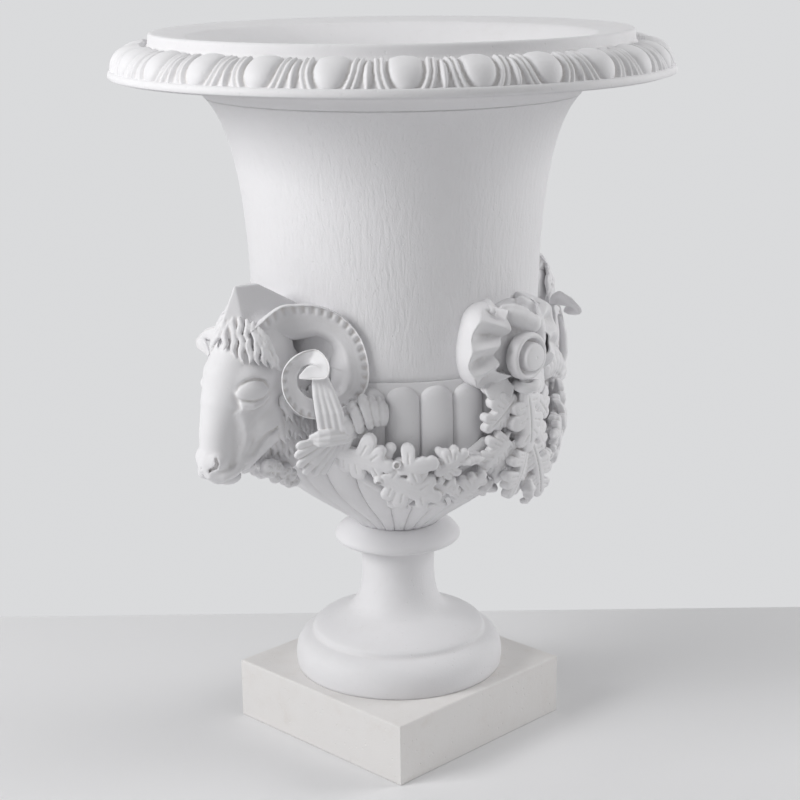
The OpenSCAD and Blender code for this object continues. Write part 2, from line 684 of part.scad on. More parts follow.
plinth();
foot();
collar();
bowl();
bell();
rim();
ram_head(0);  // ram_head_left
ram_head(1);  // ram_head_right
horn(0);  // horn_left_front
horn(1);  // horn_left_back
horn(2);  // horn_right_front
horn(3);  // horn_right_back
ribbon(0);  // ribbon_left_front
ribbon(1);  // ribbon_left_back
ribbon(2);  // ribbon_right_front
ribbon(3);  // ribbon_right_back
garland(0);  // garland_left_front
garland(1);  // garland_left_back
garland(2);  // garland_right_front
garland(3);  // garland_right_back
bow(0);  // bow_front
bow(1);  // bow_back
boss(0);  // boss_front
boss(1);  // boss_back
binding_ring(0);  // binding_ring_front
binding_ring(1);  // binding_ring_back
leaf_drop(0);  // leaf_drop_front
leaf_drop(1);  // leaf_drop_back
head_dowels();
boss_dowels();
tie_tube();
nut(seat_z - washer_height - nut_height);  // bottom_nut
washer(seat_z - washer_height, washer_height, "silver");  // bottom_washer
washer(floor_z, seal_height, "dimgray");  // sealing_washer
washer(floor_z + seal_height, washer_height, "silver");  // top_washer
nut(floor_z + seal_height + washer_height);  // top_nut
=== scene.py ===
import bpy
import math
import numpy as np
from mathutils import Matrix, Vector


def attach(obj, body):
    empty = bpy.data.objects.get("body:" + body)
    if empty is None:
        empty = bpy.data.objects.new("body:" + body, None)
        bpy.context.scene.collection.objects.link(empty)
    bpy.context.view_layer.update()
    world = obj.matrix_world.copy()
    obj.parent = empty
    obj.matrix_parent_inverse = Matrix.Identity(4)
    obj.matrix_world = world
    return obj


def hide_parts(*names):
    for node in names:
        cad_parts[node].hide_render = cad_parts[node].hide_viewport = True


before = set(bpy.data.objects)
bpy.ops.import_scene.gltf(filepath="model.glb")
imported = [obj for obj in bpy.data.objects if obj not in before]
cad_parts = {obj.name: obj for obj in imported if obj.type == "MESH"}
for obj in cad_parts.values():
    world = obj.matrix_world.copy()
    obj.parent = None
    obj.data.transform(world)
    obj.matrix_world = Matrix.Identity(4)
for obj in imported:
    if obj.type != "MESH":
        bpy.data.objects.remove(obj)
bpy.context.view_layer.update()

print("frame loaded")

# Lengths in this script are millimetres until a mesh is made, and turns are degrees
metre = 0.001


def bezierCurve(points, steps):
    t = np.linspace(0, 1, steps + 1)[:, None]
    a, b, c, d = [np.array(p, float) for p in points]
    return (1 - t) ** 3 * a + 3 * t * (1 - t) ** 2 * b + 3 * t * t * (1 - t) * c + t ** 3 * d


def smoothRoute(stops, steps):
    # Curve through all stops, with as many columns as a stop has numbers
    stops = np.array(stops, float)
    padded = np.vstack([2 * stops[0] - stops[1], stops, 2 * stops[-1] - stops[-2]])
    t = np.linspace(0, len(stops) - 1, steps)
    i = np.minimum(t.astype(int), len(stops) - 2)
    u = (t - i)[:, None]
    a, b, c, d = padded[i], padded[i + 1], padded[i + 2], padded[i + 3]
    return 0.5 * (2 * b + (c - a) * u + (2 * a - 5 * b + 4 * c - d) * u ** 2 + (3 * b - a - 3 * c + d) * u ** 3)


def unitRows(v):
    return v / np.maximum(np.linalg.norm(v, axis=-1, keepdims=True), 1e-9)


# Meshes

def newPiece(name, points, faces, material, node, smooth=True):
    # Points are rows of [x, y, z] in millimetres, faces are rows of point numbers
    mesh = bpy.data.meshes.new(name)
    sides = faces.shape[1]
    mesh.vertices.add(len(points))
    mesh.vertices.foreach_set("co", (points * metre).ravel())
    mesh.loops.add(faces.size)
    mesh.loops.foreach_set("vertex_index", faces.ravel().astype(np.int32))
    mesh.polygons.add(len(faces))
    mesh.polygons.foreach_set("loop_start", np.arange(0, faces.size, sides, dtype=np.int32))
    mesh.update(calc_edges=True)
    mesh.validate()
    mesh.polygons.foreach_set("use_smooth", [smooth] * len(mesh.polygons))
    mesh.materials.append(material)
    piece = bpy.data.objects.new(name, mesh)
    bpy.context.scene.collection.objects.link(piece)
    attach(piece, "root")
    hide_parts(node)


def gridFaces(rows, columns, wrapRows=False, wrapColumns=False):
    # Four-sided faces between the points of a grid, which may close on itself either way
    r = np.arange(rows if wrapRows else rows - 1)
    c = np.arange(columns if wrapColumns else columns - 1)
    r, c = np.meshgrid(r, c, indexing="ij")
    r2, c2 = (r + 1) % rows, (c + 1) % columns
    return np.stack([r * columns + c, r * columns + c2, r2 * columns + c2, r2 * columns + c], -1).reshape(-1, 4)


def endCaps(rings, sides):
    # Triangles that close both ends of a tube, to a first and a last point added after its rings
    first = rings * sides
    here = np.arange(sides)
    there = (here + 1) % sides
    start = np.stack([np.full(sides, first), there, here], -1)
    end = np.stack([np.full(sides, first + 1), (rings - 1) * sides + here, (rings - 1) * sides + there], -1)
    return np.vstack([start, end])


def closedPiece(points, quads, triangles=None):
    # Turns mixed faces to triangles that point outwards
    faces = np.vstack([quads[:, [0, 1, 2]], quads[:, [0, 2, 3]]] + ([] if triangles is None else [triangles]))
    a, b, c = points[faces[:, 0]], points[faces[:, 1]], points[faces[:, 2]]
    if (a * np.cross(b, c)).sum() < 0:
        faces = faces[:, ::-1]
    return points, faces


def joined(parts):
    points, faces, start = [], [], 0
    for partPoints, partFaces in parts:
        points.append(partPoints)
        faces.append(partFaces + start)
        start += len(partPoints)
    return np.vstack(points), np.vstack(faces)


def turnedPoints(profile, segments):
    # Closed profile of [radius, height] turned about the z axis
    turn = np.linspace(0, 2 * math.pi, segments, endpoint=False)
    x = profile[:, 0][:, None] * np.cos(turn)
    y = profile[:, 0][:, None] * np.sin(turn)
    z = np.repeat(profile[:, 1][:, None], segments, 1)
    return np.stack([x, y, z], -1).reshape(-1, 3), gridFaces(len(profile), segments, True, True)


# Clay: a field of distances on a grid, to which forms are added and from which they are cut

def smoothMin(a, b, k):
    # The smaller of two distances, rounded over k millimetres where they are alike
    h = np.clip(0.5 + 0.5 * (b - a) / k, 0, 1)
    return b + (a - b) * h - k * h * (1 - h)


class Clay:
    margin = 4  # the field is worked this far beyond a form and its blend
    outside = 25.0  # distance that stands for open air

    def __init__(self, low, high, cell):
        self.low = np.array(low, float)
        self.cell = cell
        count = np.ceil((np.array(high, float) - self.low) / cell).astype(int) + 1
        self.axes = [self.low[i] + cell * np.arange(count[i]) for i in range(3)]
        self.field = np.full(count, self.outside, np.float32)

    def window(self, form, blend):
        # The part of the field that a form can change, and the form's distance there
        low, high, distance = form
        low, high = np.array(low) - blend - self.margin, np.array(high) + blend + self.margin
        cuts = tuple(slice(*np.searchsorted(axis, [a, b])) for axis, a, b in zip(self.axes, low, high))
        x, y, z = [axis[part] for axis, part in zip(self.axes, cuts)]
        return cuts, distance(x[:, None, None], y[None, :, None], z[None, None, :])

    def add(self, form, blend):
        cuts, distance = self.window(form, blend)
        self.field[cuts] = smoothMin(self.field[cuts], distance, blend)

    def cut(self, form, blend):
        cuts, distance = self.window(form, blend)
        self.field[cuts] = -smoothMin(-self.field[cuts], distance, blend)

    def shape(self, forms, side=1):
        # Named forms in their order, each ["add" or "cut", blend, places]. Places of [x, y, z, radius] are joined by
        # tapered rods, one place of [x, y, z, three radii] is a ball, and side -1 mirrors them in y
        for change, blend, places in forms.values():
            places = np.array(places, float)
            places[:, 1] *= side
            form = stroke(places) if places.shape[1] == 4 else ball(places[0, :3], places[0, 3:])
            (self.add if change == "add" else self.cut)(form, blend)

    def skin(self):
        # Surface net: one point in each cell that the surface crosses, one quad across each crossed edge
        f = self.field
        inside = f < 0
        shape = np.array(f.shape) - 1
        total = np.zeros(shape, np.int8)
        for dx in (0, 1):
            for dy in (0, 1):
                for dz in (0, 1):
                    total += inside[dx:dx + shape[0], dy:dy + shape[1], dz:dz + shape[2]]
        mixed = (total > 0) & (total < 8)
        cells = np.argwhere(mixed)
        index = np.full(shape, -1, np.int32)
        index[mixed] = np.arange(len(cells))
        sums = np.zeros((len(cells), 3))
        hits = np.zeros(len(cells))
        for axis in range(3):
            others = [i for i in range(3) if i != axis]
            for da in (0, 1):
                for db in (0, 1):
                    a = cells.copy()
                    a[:, others[0]] += da
                    a[:, others[1]] += db
                    b = a.copy()
                    b[:, axis] += 1
                    fa = f[a[:, 0], a[:, 1], a[:, 2]].astype(float)
                    fb = f[b[:, 0], b[:, 1], b[:, 2]].astype(float)
                    crossed = (fa < 0) != (fb < 0)
                    t = np.where(crossed, fa / np.where(crossed, fa - fb, 1), 0)
                    place = a.astype(float)
                    place[:, axis] += t
                    sums[crossed] += place[crossed]
                    hits += crossed
        points = self.low + self.cell * sums / hits[:, None]
        quads = []
        for axis in range(3):
            u, v = (axis + 1) % 3, (axis + 2) % 3
            low = [slice(None)] * 3
            high = [slice(None)] * 3
            low[axis], high[axis] = slice(0, -1), slice(1, None)
            crossed = inside[tuple(low)] != inside[tuple(high)]
            for side in (u, v):
                edge = [slice(None)] * 3
                edge[side] = 0
                crossed[tuple(edge)] = False
                edge[side] = -1
                crossed[tuple(edge)] = False
            at = np.argwhere(crossed)
            around = []
            for du, dv in ((1, 1), (0, 1), (0, 0), (1, 0)):
                c = at.copy()
                c[:, u] -= du
                c[:, v] -= dv
                around.append(index[c[:, 0], c[:, 1], c[:, 2]])
            quad = np.stack(around, -1)
            leaving = inside[at[:, 0], at[:, 1], at[:, 2]]
            quad[~leaving] = quad[~leaving][:, ::-1]
            quads.append(quad)
        return points, np.vstack(quads)


def ball(centre, radii, axes=None):
    centre = np.array(centre, float)
    radii = np.array(radii, float) * np.ones(3)
    axes = np.eye(3) if axes is None else np.array(axes, float)
    reach = np.sqrt(((axes * radii[:, None]) ** 2).sum(0))

    def distance(x, y, z):
        q = [x - centre[0], y - centre[1], z - centre[2]]
        k0 = k1 = 0
        for i in range(3):
            s = q[0] * axes[i, 0] + q[1] * axes[i, 1] + q[2] * axes[i, 2]
            k0 = k0 + (s / radii[i]) ** 2
            k1 = k1 + (s / radii[i] ** 2) ** 2
        k0 = np.sqrt(k0)
        return k0 * (k0 - 1) / np.maximum(np.sqrt(k1), 1e-6)
    return centre - reach, centre + reach, distance


def stroke(stops, flat=None, press=1.0):
    # Chain of tapered rods; a stop is [x, y, z, radius]; flat is a direction in which they are pressed thinner
    stops = np.array(stops, float)
    points, radii = stops[:, :3], stops[:, 3]
    flat = None if flat is None else unitRows(np.array(flat, float))

    def distance(x, y, z):
        best = None
        for i in range(len(points) - 1):
            a, b = points[i], points[i + 1] - points[i]
            qx, qy, qz = x - a[0], y - a[1], z - a[2]
            t = np.clip((qx * b[0] + qy * b[1] + qz * b[2]) / max(b @ b, 1e-6), 0, 1)
            qx, qy, qz = qx - t * b[0], qy - t * b[1], qz - t * b[2]
            square = qx ** 2 + qy ** 2 + qz ** 2
            if flat is not None:
                square = square + (press ** 2 - 1) * (qx * flat[0] + qy * flat[1] + qz * flat[2]) ** 2
            d = np.sqrt(square) - (radii[i] + t * (radii[i + 1] - radii[i]))
            best = d if best is None else np.minimum(best, d)
        return best
    reach = radii.max()
    return points.min(0) - reach, points.max(0) + reach, distance


def block(planes, low, high, round=3.0):
    # Convex body inside planes, each [point on it, outward normal]
    planes = [(np.array(p, float), unitRows(np.array(n, float))) for p, n in planes]

    def distance(x, y, z):
        d = None
        for p, n in planes:
            side = (x - p[0]) * n[0] + (y - p[1]) * n[1] + (z - p[2]) * n[2]
            d = side if d is None else -smoothMin(-d, -side, round)
        return d
    return low, high, distance


# Wall of the urn under the ornament, as the radius of its crests over the height
bowlCurve = bezierCurve([[60, 307], [97, 342], [190, 383], [208, 450]], 24)
bellCurve = bezierCurve([[197.5, 559], [199, 699.6], [204, 863.4], [255.5, 915]], 48)
wallTable = np.vstack([bowlCurve, [[211, 485], [210.5, 511], [209, 535], [199, 553], [199, 559]], bellCurve[1:]])


def wallRadius(z):
    return np.interp(z, wallTable[:, 1], wallTable[:, 0])


def wallSlope(z):
    # How fast the wall's radius grows with the height
    return np.interp(z, wallTable[1:, 1], np.diff(wallTable[:, 0]) / np.maximum(np.diff(wallTable[:, 1]), 0.1))


def wallDistance(x, y, z, off=0.0):
    return (np.sqrt(x * x + y * y) - wallRadius(z) - off) / np.sqrt(1 + wallSlope(z) ** 2)


def cutByWall(clay, off=0.0):
    x, y, z = clay.axes[0][:, None, None], clay.axes[1][None, :, None], clay.axes[2][None, None, :]
    clay.field = np.maximum(clay.field, -wallDistance(x, y, z, off)).astype(np.float32)


# Materials: one kiln of white cast marble, with values for each part of the urn

def newGroup(name, kind, inputs, outputs):
    # A node tree with named inputs, each [label, kind, value], and named outputs, each [label, kind]
    group = bpy.data.node_groups.new(name, kind)
    for label, socketKind, value in inputs:
        socket = group.interface.new_socket(name=label, in_out="INPUT", socket_type="NodeSocket" + socketKind)
        if value is not None:
            socket.default_value = value
    for label, socketKind in outputs:
        group.interface.new_socket(name=label, in_out="OUTPUT", socket_type="NodeSocket" + socketKind)
    return group, group.nodes.new("NodeGroupInput"), group.nodes.new("NodeGroupOutput")


def addNode(tree, kind, links=None, **values):
    node = tree.nodes.new(kind)
    for key, value in values.items():
        setattr(node, key, value)
    for socket, value in (links or {}).items():
        if isinstance(value, bpy.types.NodeSocket):
            tree.links.new(value, node.inputs[socket])
        else:
            node.inputs[socket].default_value = value
    return node


def mathNode(tree, operation, a, b, clamp=False):
    return addNode(tree, "ShaderNodeMath", {0: a, 1: b}, operation=operation, use_clamp=clamp).outputs[0]


def rangeNode(tree, value, fromEnds, toEnds):
    return addNode(tree, "ShaderNodeMapRange", {"Value": value, "From Min": fromEnds[0], "From Max": fromEnds[1],
                                                "To Min": toEnds[0], "To Max": toEnds[1]}).outputs[0]


def noiseNode(tree, place, scale, detail, **more):
    links = {"Vector": place, "Scale": scale, "Detail": detail}
    links.update({key.capitalize(): value for key, value in more.items()})
    return addNode(tree, "ShaderNodeTexNoise", links).outputs["Fac"]


def blendNode(tree, share, first, second):
    # Mixes two colours
    return addNode(tree, "ShaderNodeMix", {"Factor": share, 6: first, 7: second}, data_type="RGBA").outputs[2]


marbleValues = {"cloudScale": 9.0, "blotchScale": 38.0, "brushScale": 170.0, "brushStretch": 0.22,
                "brushHeight": 0.0016, "grainScale": 420.0, "grainHeight": 0.00028, "pitScale": 95.0,
                "pitDepth": 0.0005, "roughness": (0.5, 0.7)}


def marbleGroup(v):
    # Colour, roughness and height of brushed cast marble, with painted shade in its hollows; heights and depths are
    # in metres
    group, start, end = newGroup("castMarble", "ShaderNodeTree", [
        ("Colour", "Color", (0.8, 0.8, 0.8, 1)), ("Stain", "Color", (0.7, 0.66, 0.6, 1)),
        ("Stain Amount", "Float", 0.3), ("Brush", "Float", 0.0), ("Grain", "Float", 1.0), ("Pits", "Float", 0.3),
        ("Painted Hollow Shade", "Float", 0.5)],
        [("Colour", "Color"), ("Roughness", "Float"), ("Height", "Float")])
    given = start.outputs
    place = addNode(group, "ShaderNodeTexCoord").outputs["Object"]
    # Clouds of stain, broken up by blotches
    cloud = noiseNode(group, place, v["cloudScale"], 5.0, roughness=0.6)
    blotch = noiseNode(group, place, v["blotchScale"], 6.0, roughness=0.65)
    stain = mathNode(group, "MULTIPLY", rangeNode(group, cloud, (0.42, 0.72), (0, 1)),
                     rangeNode(group, blotch, (0.5, 0.8), (0.15, 1)))
    stain = mathNode(group, "MULTIPLY", stain, given["Stain Amount"], True)
    stained = blendNode(group, stain, given["Colour"], given["Stain"])
    # Painted shade in hollows: the colour darkens towards the stain colour where the mesh's own bend turns inwards
    bend = addNode(group, "ShaderNodeNewGeometry").outputs["Pointiness"]
    paintedHollowShade = mathNode(group, "MULTIPLY", rangeNode(group, bend, (0.5, 0.42), (0, 1)), given["Painted Hollow Shade"], True)
    hollowShadedColour = blendNode(group, paintedHollowShade, stained, given["Stain"])
    # Upright brush marks, fine grain and small pits
    upright = addNode(group, "ShaderNodeMapping", {"Vector": place, "Scale": (1, 1, v["brushStretch"])}).outputs[0]
    marks = noiseNode(group, upright, v["brushScale"], 4.0, roughness=0.6, distortion=0.5)
    marks = mathNode(group, "MULTIPLY", mathNode(group, "MULTIPLY", marks, given["Brush"]), v["brushHeight"])
    grain = noiseNode(group, place, v["grainScale"], 3.0, roughness=0.6)
    grain = mathNode(group, "MULTIPLY", mathNode(group, "MULTIPLY", grain, given["Grain"]), v["grainHeight"])
    pit = addNode(group, "ShaderNodeTexVoronoi", {"Vector": place, "Scale": v["pitScale"]}).outputs["Distance"]
    pit = mathNode(group, "MULTIPLY", rangeNode(group, pit, (0.04, 0.16), (-v["pitDepth"], 0)), given["Pits"])
    height = mathNode(group, "ADD", mathNode(group, "ADD", marks, grain), pit)
    for label, made in (("Colour", hollowShadedColour), ("Roughness", rangeNode(group, blotch, (0.3, 0.75), v["roughness"])),
                        ("Height", height)):
        group.links.new(made, end.inputs[label])
    return group


castMarble = marbleGroup(marbleValues)


def newMaterial(name):
    material = bpy.data.materials.new(name)
    material.use_nodes = True
    return material, material.node_tree, material.node_tree.nodes["Principled BSDF"]


def stoneMaterial(name, values):
    material, tree, shader = newMaterial(name)
    marble = tree.nodes.new("ShaderNodeGroup")
    marble.node_tree = castMarble
    for key, value in values.items():
        marble.inputs[key].default_value = value
    bump = addNode(tree, "ShaderNodeBump", {"Height": marble.outputs["Height"], "Distance": 1.0, "Strength": 1.0})
    tree.links.new(marble.outputs["Colour"], shader.inputs["Base Color"])
    tree.links.new(marble.outputs["Roughness"], shader.inputs["Roughness"])
    tree.links.new(bump.outputs["Normal"], shader.inputs["Normal"])
    shader.inputs["Specular IOR Level"].default_value = 0.32
    return material


white = (0.80, 0.795, 0.81, 1)
warmStain = (0.62, 0.59, 0.56, 1)
# The last value of each stone sets how strongly painted shade darkens its hollows
bellStone = stoneMaterial("bellStone", {"Colour": white, "Stain": warmStain, "Stain Amount": 0.12, "Brush": 0.7,
                                        "Grain": 1.0, "Pits": 0.6, "Painted Hollow Shade": 0.0})
turnedStone = stoneMaterial("turnedStone", {"Colour": white, "Stain": warmStain, "Stain Amount": 0.2, "Brush": 0.12,
                                            "Grain": 0.9, "Pits": 0.7, "Painted Hollow Shade": 0.3})
carvedStone = stoneMaterial("carvedStone", {"Colour": white, "Stain": warmStain, "Stain Amount": 0.15, "Brush": 0.0,
                                            "Grain": 0.8, "Pits": 0.4, "Painted Hollow Shade": 0.7})
plinthStone = stoneMaterial("plinthStone", {"Colour": (0.79, 0.775, 0.765, 1), "Stain": (0.6, 0.53, 0.47, 1),
                                            "Stain Amount": 0.45, "Brush": 0.1, "Grain": 0.8, "Pits": 1.0,
                                            "Painted Hollow Shade": 0.2})


def metalMaterial(name, colour, roughness, metallic=1.0):
    # Fine turning lines round the z axis over a slightly uneven tone; used for the rubber washer too
    material, tree, shader = newMaterial(name)
    place = addNode(tree, "ShaderNodeTexCoord").outputs["Object"]
    turned = addNode(tree, "ShaderNodeMapping", {"Vector": place, "Scale": (60.0, 60.0, 1800.0)}).outputs[0]
    lines = noiseNode(tree, turned, 1.0, 4.0)
    gloss = rangeNode(tree, lines, (0.3, 0.7), (roughness - 0.08, roughness + 0.12))
    tint = blendNode(tree, noiseNode(tree, place, 120.0, 5.0), (*colour, 1), (*[c * 0.72 for c in colour], 1))
    bump = addNode(tree, "ShaderNodeBump", {"Height": lines, "Distance": 0.0001, "Strength": 0.4})
    tree.links.new(tint, shader.inputs["Base Color"])
    tree.links.new(gloss, shader.inputs["Roughness"])
    tree.links.new(bump.outputs["Normal"], shader.inputs["Normal"])
    shader.inputs["Metallic"].default_value = metallic
    return material


dullSteel = metalMaterial("dullSteel", (0.6, 0.6, 0.61), 0.34)
dullBrass = metalMaterial("dullBrass", (0.76, 0.57, 0.29), 0.36)
blackRubber = metalMaterial("blackRubber", (0.035, 0.035, 0.036), 0.75, 0.0)
for node, finish in {"head_dowels": dullSteel, "boss_dowels": dullSteel, "bottom_washer": dullSteel,
                     "top_washer": dullSteel, "tie_tube": dullBrass, "bottom_nut": dullBrass, "top_nut": dullBrass,
                     "sealing_washer": blackRubber}.items():
    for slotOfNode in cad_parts[node].material_slots:
        slotOfNode.material = finish
print("materials mixed")


# Copies of one slice round the urn's axis, made by Geometry Nodes

weldDistance = 0.00002  # metres, at the seams between slices


def sliceRing():
    tree, start, end = newGroup("sliceRing", "GeometryNodeTree", [
        ("Slice", "Geometry", None), ("Count", "Int", 28), ("Start Turn", "Float", 0.0),
        ("Weld", "Float", weldDistance), ("Material", "Material", None)], [("Ring", "Geometry")])
    points = addNode(tree, "GeometryNodePoints", {"Count": start.outputs["Count"]})
    index = addNode(tree, "GeometryNodeInputIndex")
    step = mathNode(tree, "DIVIDE", 2 * math.pi, start.outputs["Count"])
    turn = mathNode(tree, "ADD", mathNode(tree, "MULTIPLY", index.outputs[0], step), start.outputs["Start Turn"])
    spin = addNode(tree, "ShaderNodeCombineXYZ", {"Z": turn})
    copies = addNode(tree, "GeometryNodeInstanceOnPoints",
                     {"Points": points.outputs[0], "Instance": start.outputs["Slice"], "Rotation": spin.outputs[0]})
    real = addNode(tree, "GeometryNodeRealizeInstances", {"Geometry": copies.outputs[0]})
    weld = addNode(tree, "GeometryNodeMergeByDistance",
                   {"Geometry": real.outputs[0], "Distance": start.outputs["Weld"]})
    finish = addNode(tree, "GeometryNodeSetMaterial",
                     {"Geometry": weld.outputs[0], "Material": start.outputs["Material"]})
    tree.links.new(finish.outputs[0], end.inputs["Ring"])
    return tree


sliceRingTree = sliceRing()


def ringPiece(name, points, faces, count, startTurn, material, node):
    # Runs the tree on one slice and keeps the plain mesh; startTurn is in degrees
    mesh = bpy.data.meshes.new(name + "Slice")
    mesh.from_pydata((points * metre).tolist(), [], faces.tolist())
    mesh.polygons.foreach_set("use_smooth", [True] * len(mesh.polygons))
    piece = bpy.data.objects.new(name, mesh)
    bpy.context.scene.collection.objects.link(piece)
    modifier = piece.modifiers.new("ring", "NODES")
    modifier.node_group = sliceRingTree
    for item in sliceRingTree.interface.items_tree:
        if item.in_out == "INPUT" and item.name != "Slice":
            modifier[item.identifier] = {"Count": count, "Start Turn": math.radians(startTurn),
                                         "Weld": weldDistance, "Material": material}[item.name]
    bpy.context.view_layer.update()
    graph = bpy.context.evaluated_depsgraph_get()
    whole = bpy.data.meshes.new_from_object(piece.evaluated_get(graph))
    piece.modifiers.remove(modifier)
    piece.data = whole
    whole.name = name
    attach(piece, "root")
    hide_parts(node)


# Bowl

bowlValues = {
    "gadroons": 28, "startTurn": 2.4, "depth": 10.0, "archFrom": 535.0, "archTop": 553.5, "band": 199.0,
    "inside": 167.5, "valley": 0.985,
    # [radius, height] over the register, and from the floor down the drain hole to the seat
    "register": [[199, 556], [199, 558.2], [198.3, 558.9], [168.2, 558.9]],
    "floor": [[40, 372], [14.5, 372], [13.5, 371], [13.5, 314], [40.3, 313.6], [40.3, 307.4], [56, 307.2]]}


def bowlSlice(v):
    crest = bezierCurve([[60, 307], [97, 342], [190, 383], [208, 450]], 34)
    crest = np.vstack([crest, smoothRoute([[208, 450], [211, 485], [210.5, 511], [209, v["archFrom"]]], 14)[1:]])
    rows = []
    half = 180 / v["gadroons"]
    phi = np.linspace(-90, 90, 25)
    flat = np.linspace(0, 1, 4)[:3]

    def row(radius, depth, closing, z):
        width = v["valley"] * math.sqrt(max(0.0, 1 - closing * closing))
        u = np.concatenate([-1 + flat * (1 - width), width * np.sin(np.radians(phi)), (1 - flat[::-1] * (1 - width))])
        swell = np.concatenate([flat * 0, np.cos(np.radians(phi)) * math.sqrt(max(0, 1 - closing ** 2)), flat * 0])
        r = radius - depth * (1 - swell)
        turn = np.radians(half * (1 + u))
        rows.append(np.stack([r * np.cos(turn), r * np.sin(turn), np.full_like(r, z)], -1))
    for i, (radius, z) in enumerate(crest):
        row(radius, v["depth"] * min(1.0, 0.28 + i / 16), 0.0, z)
    for psi in np.linspace(0, 90, 13)[1:]:
        closing = math.sin(math.radians(psi))
        row(v["band"] + v["depth"], v["depth"], closing, v["archFrom"] + (v["archTop"] - v["archFrom"]) * closing)
    inner = bezierCurve([[v["inside"], 558.7], [v["inside"], 458], [155.5, 384], [70, 372]], 18)
    for radius, z in np.vstack([v["register"], inner, v["floor"]]):
        row(radius, 0.0, 1.0, z)
    points = np.vstack(rows)
    return points, gridFaces(len(rows), len(rows[0]), True, False)


points, faces = bowlSlice(bowlValues)
ringPiece("gadroonedBowl", points, faces, bowlValues["gadroons"], bowlValues["startTurn"], turnedStone, "bowl")
print("bowl turned and gadrooned")

# Rim: a slice of the egg-and-dart band, and the turned body that carries it

rimValues = {
    "units": 26, "startTurn": 5.92, "ground": 38.0, "centre": (336.0, 943.0), "eggHalfWidth": 19.5,
    "eggHalfHeight": 27.0, "eggMiddle": 33.0, "eggRise": 8.5, "dartRise": 6.5, "dartHalfWidth": 6.2,
    # Raised lines round the egg and the ground between them, as multiples of the egg's half width
    "lines": (1.36, 1.72), "lineHalf": 0.17, "lineRise": 5.0, "between": 1.54, "betweenHalf": 0.36,
    "betweenRise": 2.4, "pitchRadius": 366, "columns": 47,
    # Profile of the body, [radius, height]: curves of four places each, and the lip between them
    "soffit": [[255.5, 915], [263.5, 931], [291.5, 942], [351, 942]],
    "lip": [[377.5, 942.2], [379.6, 942.8], [380.7, 944.2], [380.4, 948], [379.6, 951], [378, 952.6], [372, 953.2],
            [345, 962], [329, 982], [326.6, 985], [326.2, 988], [325.6, 995.5], [324.6, 998.6], [322.5, 999.8],
            [319, 1000], [300, 997.4], [282, 994.6], [278, 994.2]],
    "throat": [[275, 993], [255, 976], [237.5, 955], [225.5, 915]], "seat": [[226, 914.8], [255, 914.8]],
    "segments": 260}


def bandHeight(u, s, v):
    # u is the distance sideways from the egg's middle, s the distance up the round, both in mm
    pitch = 2 * math.pi * v["pitchRadius"] / v["units"]
    down = np.minimum(0, s - v["eggMiddle"]) / v["eggHalfHeight"]
    e = np.sqrt((u / v["eggHalfWidth"]) ** 2 + down ** 2)
    top = np.clip((s - v["eggMiddle"]) / 24, 0, 1)
    egg = v["eggRise"] * np.sqrt(np.clip(1 - e ** 2, 0, 1)) * (1 - 0.25 * top)

    def line(middle, rise):
        return rise * np.clip(1 - ((e - middle) / v["lineHalf"]) ** 2, 0, 1) ** 0.6
    lines = np.maximum(line(v["lines"][0], v["lineRise"]), line(v["lines"][1], v["lineRise"] * 0.9))
    between = v["betweenRise"] * np.clip(1 - np.abs(e - v["between"]) / v["betweenHalf"], 0, 1)
    lines = np.maximum(lines, between)
    beside = np.abs(np.abs(u) - pitch / 2)
    wide = v["dartHalfWidth"] * np.clip((s - 6) / 20, 0, 1) ** 0.7 * (1 - 0.3 * np.clip((s - 40) / 20, 0, 1))
    dart = v["dartRise"] * np.clip(1 - beside / np.maximum(wide, 0.01), 0, 1) ** 0.75
    return np.maximum(np.maximum(egg, lines), dart)


def rimBand(v):
    half = math.pi / v["units"]
    columns = np.linspace(-half, half, v["columns"])
    lengths = np.concatenate([[-3.0, -0.5], np.linspace(0.8, 59, 50), [60.5, 62.5]])
    rows = []
    for s in lengths:
        angle = s / v["ground"]
        radius = v["centre"][0] + v["ground"] * math.cos(angle)
        h = bandHeight(columns * radius, np.full_like(columns, s), v) if 0 < s < 60 else columns * 0 - 3
        r = v["centre"][0] + (v["ground"] + h) * math.cos(angle)
        z = v["centre"][1] + (v["ground"] + h) * math.sin(angle)
        rows.append(np.stack([r * np.cos(columns), r * np.sin(columns), z + 0 * columns], -1))
    for radius, z in ((330, 972), (338, 950)):
        rows.append(np.stack([radius * np.cos(columns), radius * np.sin(columns), z + 0 * columns], -1))
    return np.vstack(rows), gridFaces(len(rows), len(columns), True, False)


points, faces = rimBand(rimValues)
ringPiece("eggAndDart", points, faces, rimValues["units"], rimValues["startTurn"], carvedStone, "rim")
rimProfile = np.vstack([bezierCurve(rimValues["soffit"], 12), rimValues["lip"], bezierCurve(rimValues["throat"], 14),
                        rimValues["seat"]])
points, faces = turnedPoints(rimProfile, rimValues["segments"])
newPiece("rimBody", points, faces, turnedStone, "rim")
print("rim carved")

# Bell, collar and foot are turned from their profiles of [radius, height]

bellValues = {"wall": 30, "outerFoot": [198, 559.3], "innerFoot": [168, 559.3],
              "topSeat": [[255.2, 914.8], [226, 914.8]], "segments": 256}
bellInside = bellCurve[::-1] - [bellValues["wall"], 0]
bellProfile = np.vstack([bellValues["outerFoot"], bellCurve[1:-1], bellValues["topSeat"], bellInside[1:-1],
                         bellValues["innerFoot"]])
points, faces = turnedPoints(bellProfile, bellValues["segments"])
newPiece("bellWall", points, faces, bellStone, "bell")

collarValues = {"bulge": [[66.1, 278.2], [106.2, 272.9], [90.8, 299.1], [60.2, 306.8]], "segments": 160,
                "inside": [[56, 306.9], [14, 306.9], [14, 278.3], [62, 278.3]]}
collarProfile = np.vstack([bezierCurve(collarValues["bulge"], 24), collarValues["inside"]])
points, faces = turnedPoints(collarProfile, collarValues["segments"])
newPiece("collarRing", points, faces, turnedStone, "collar")

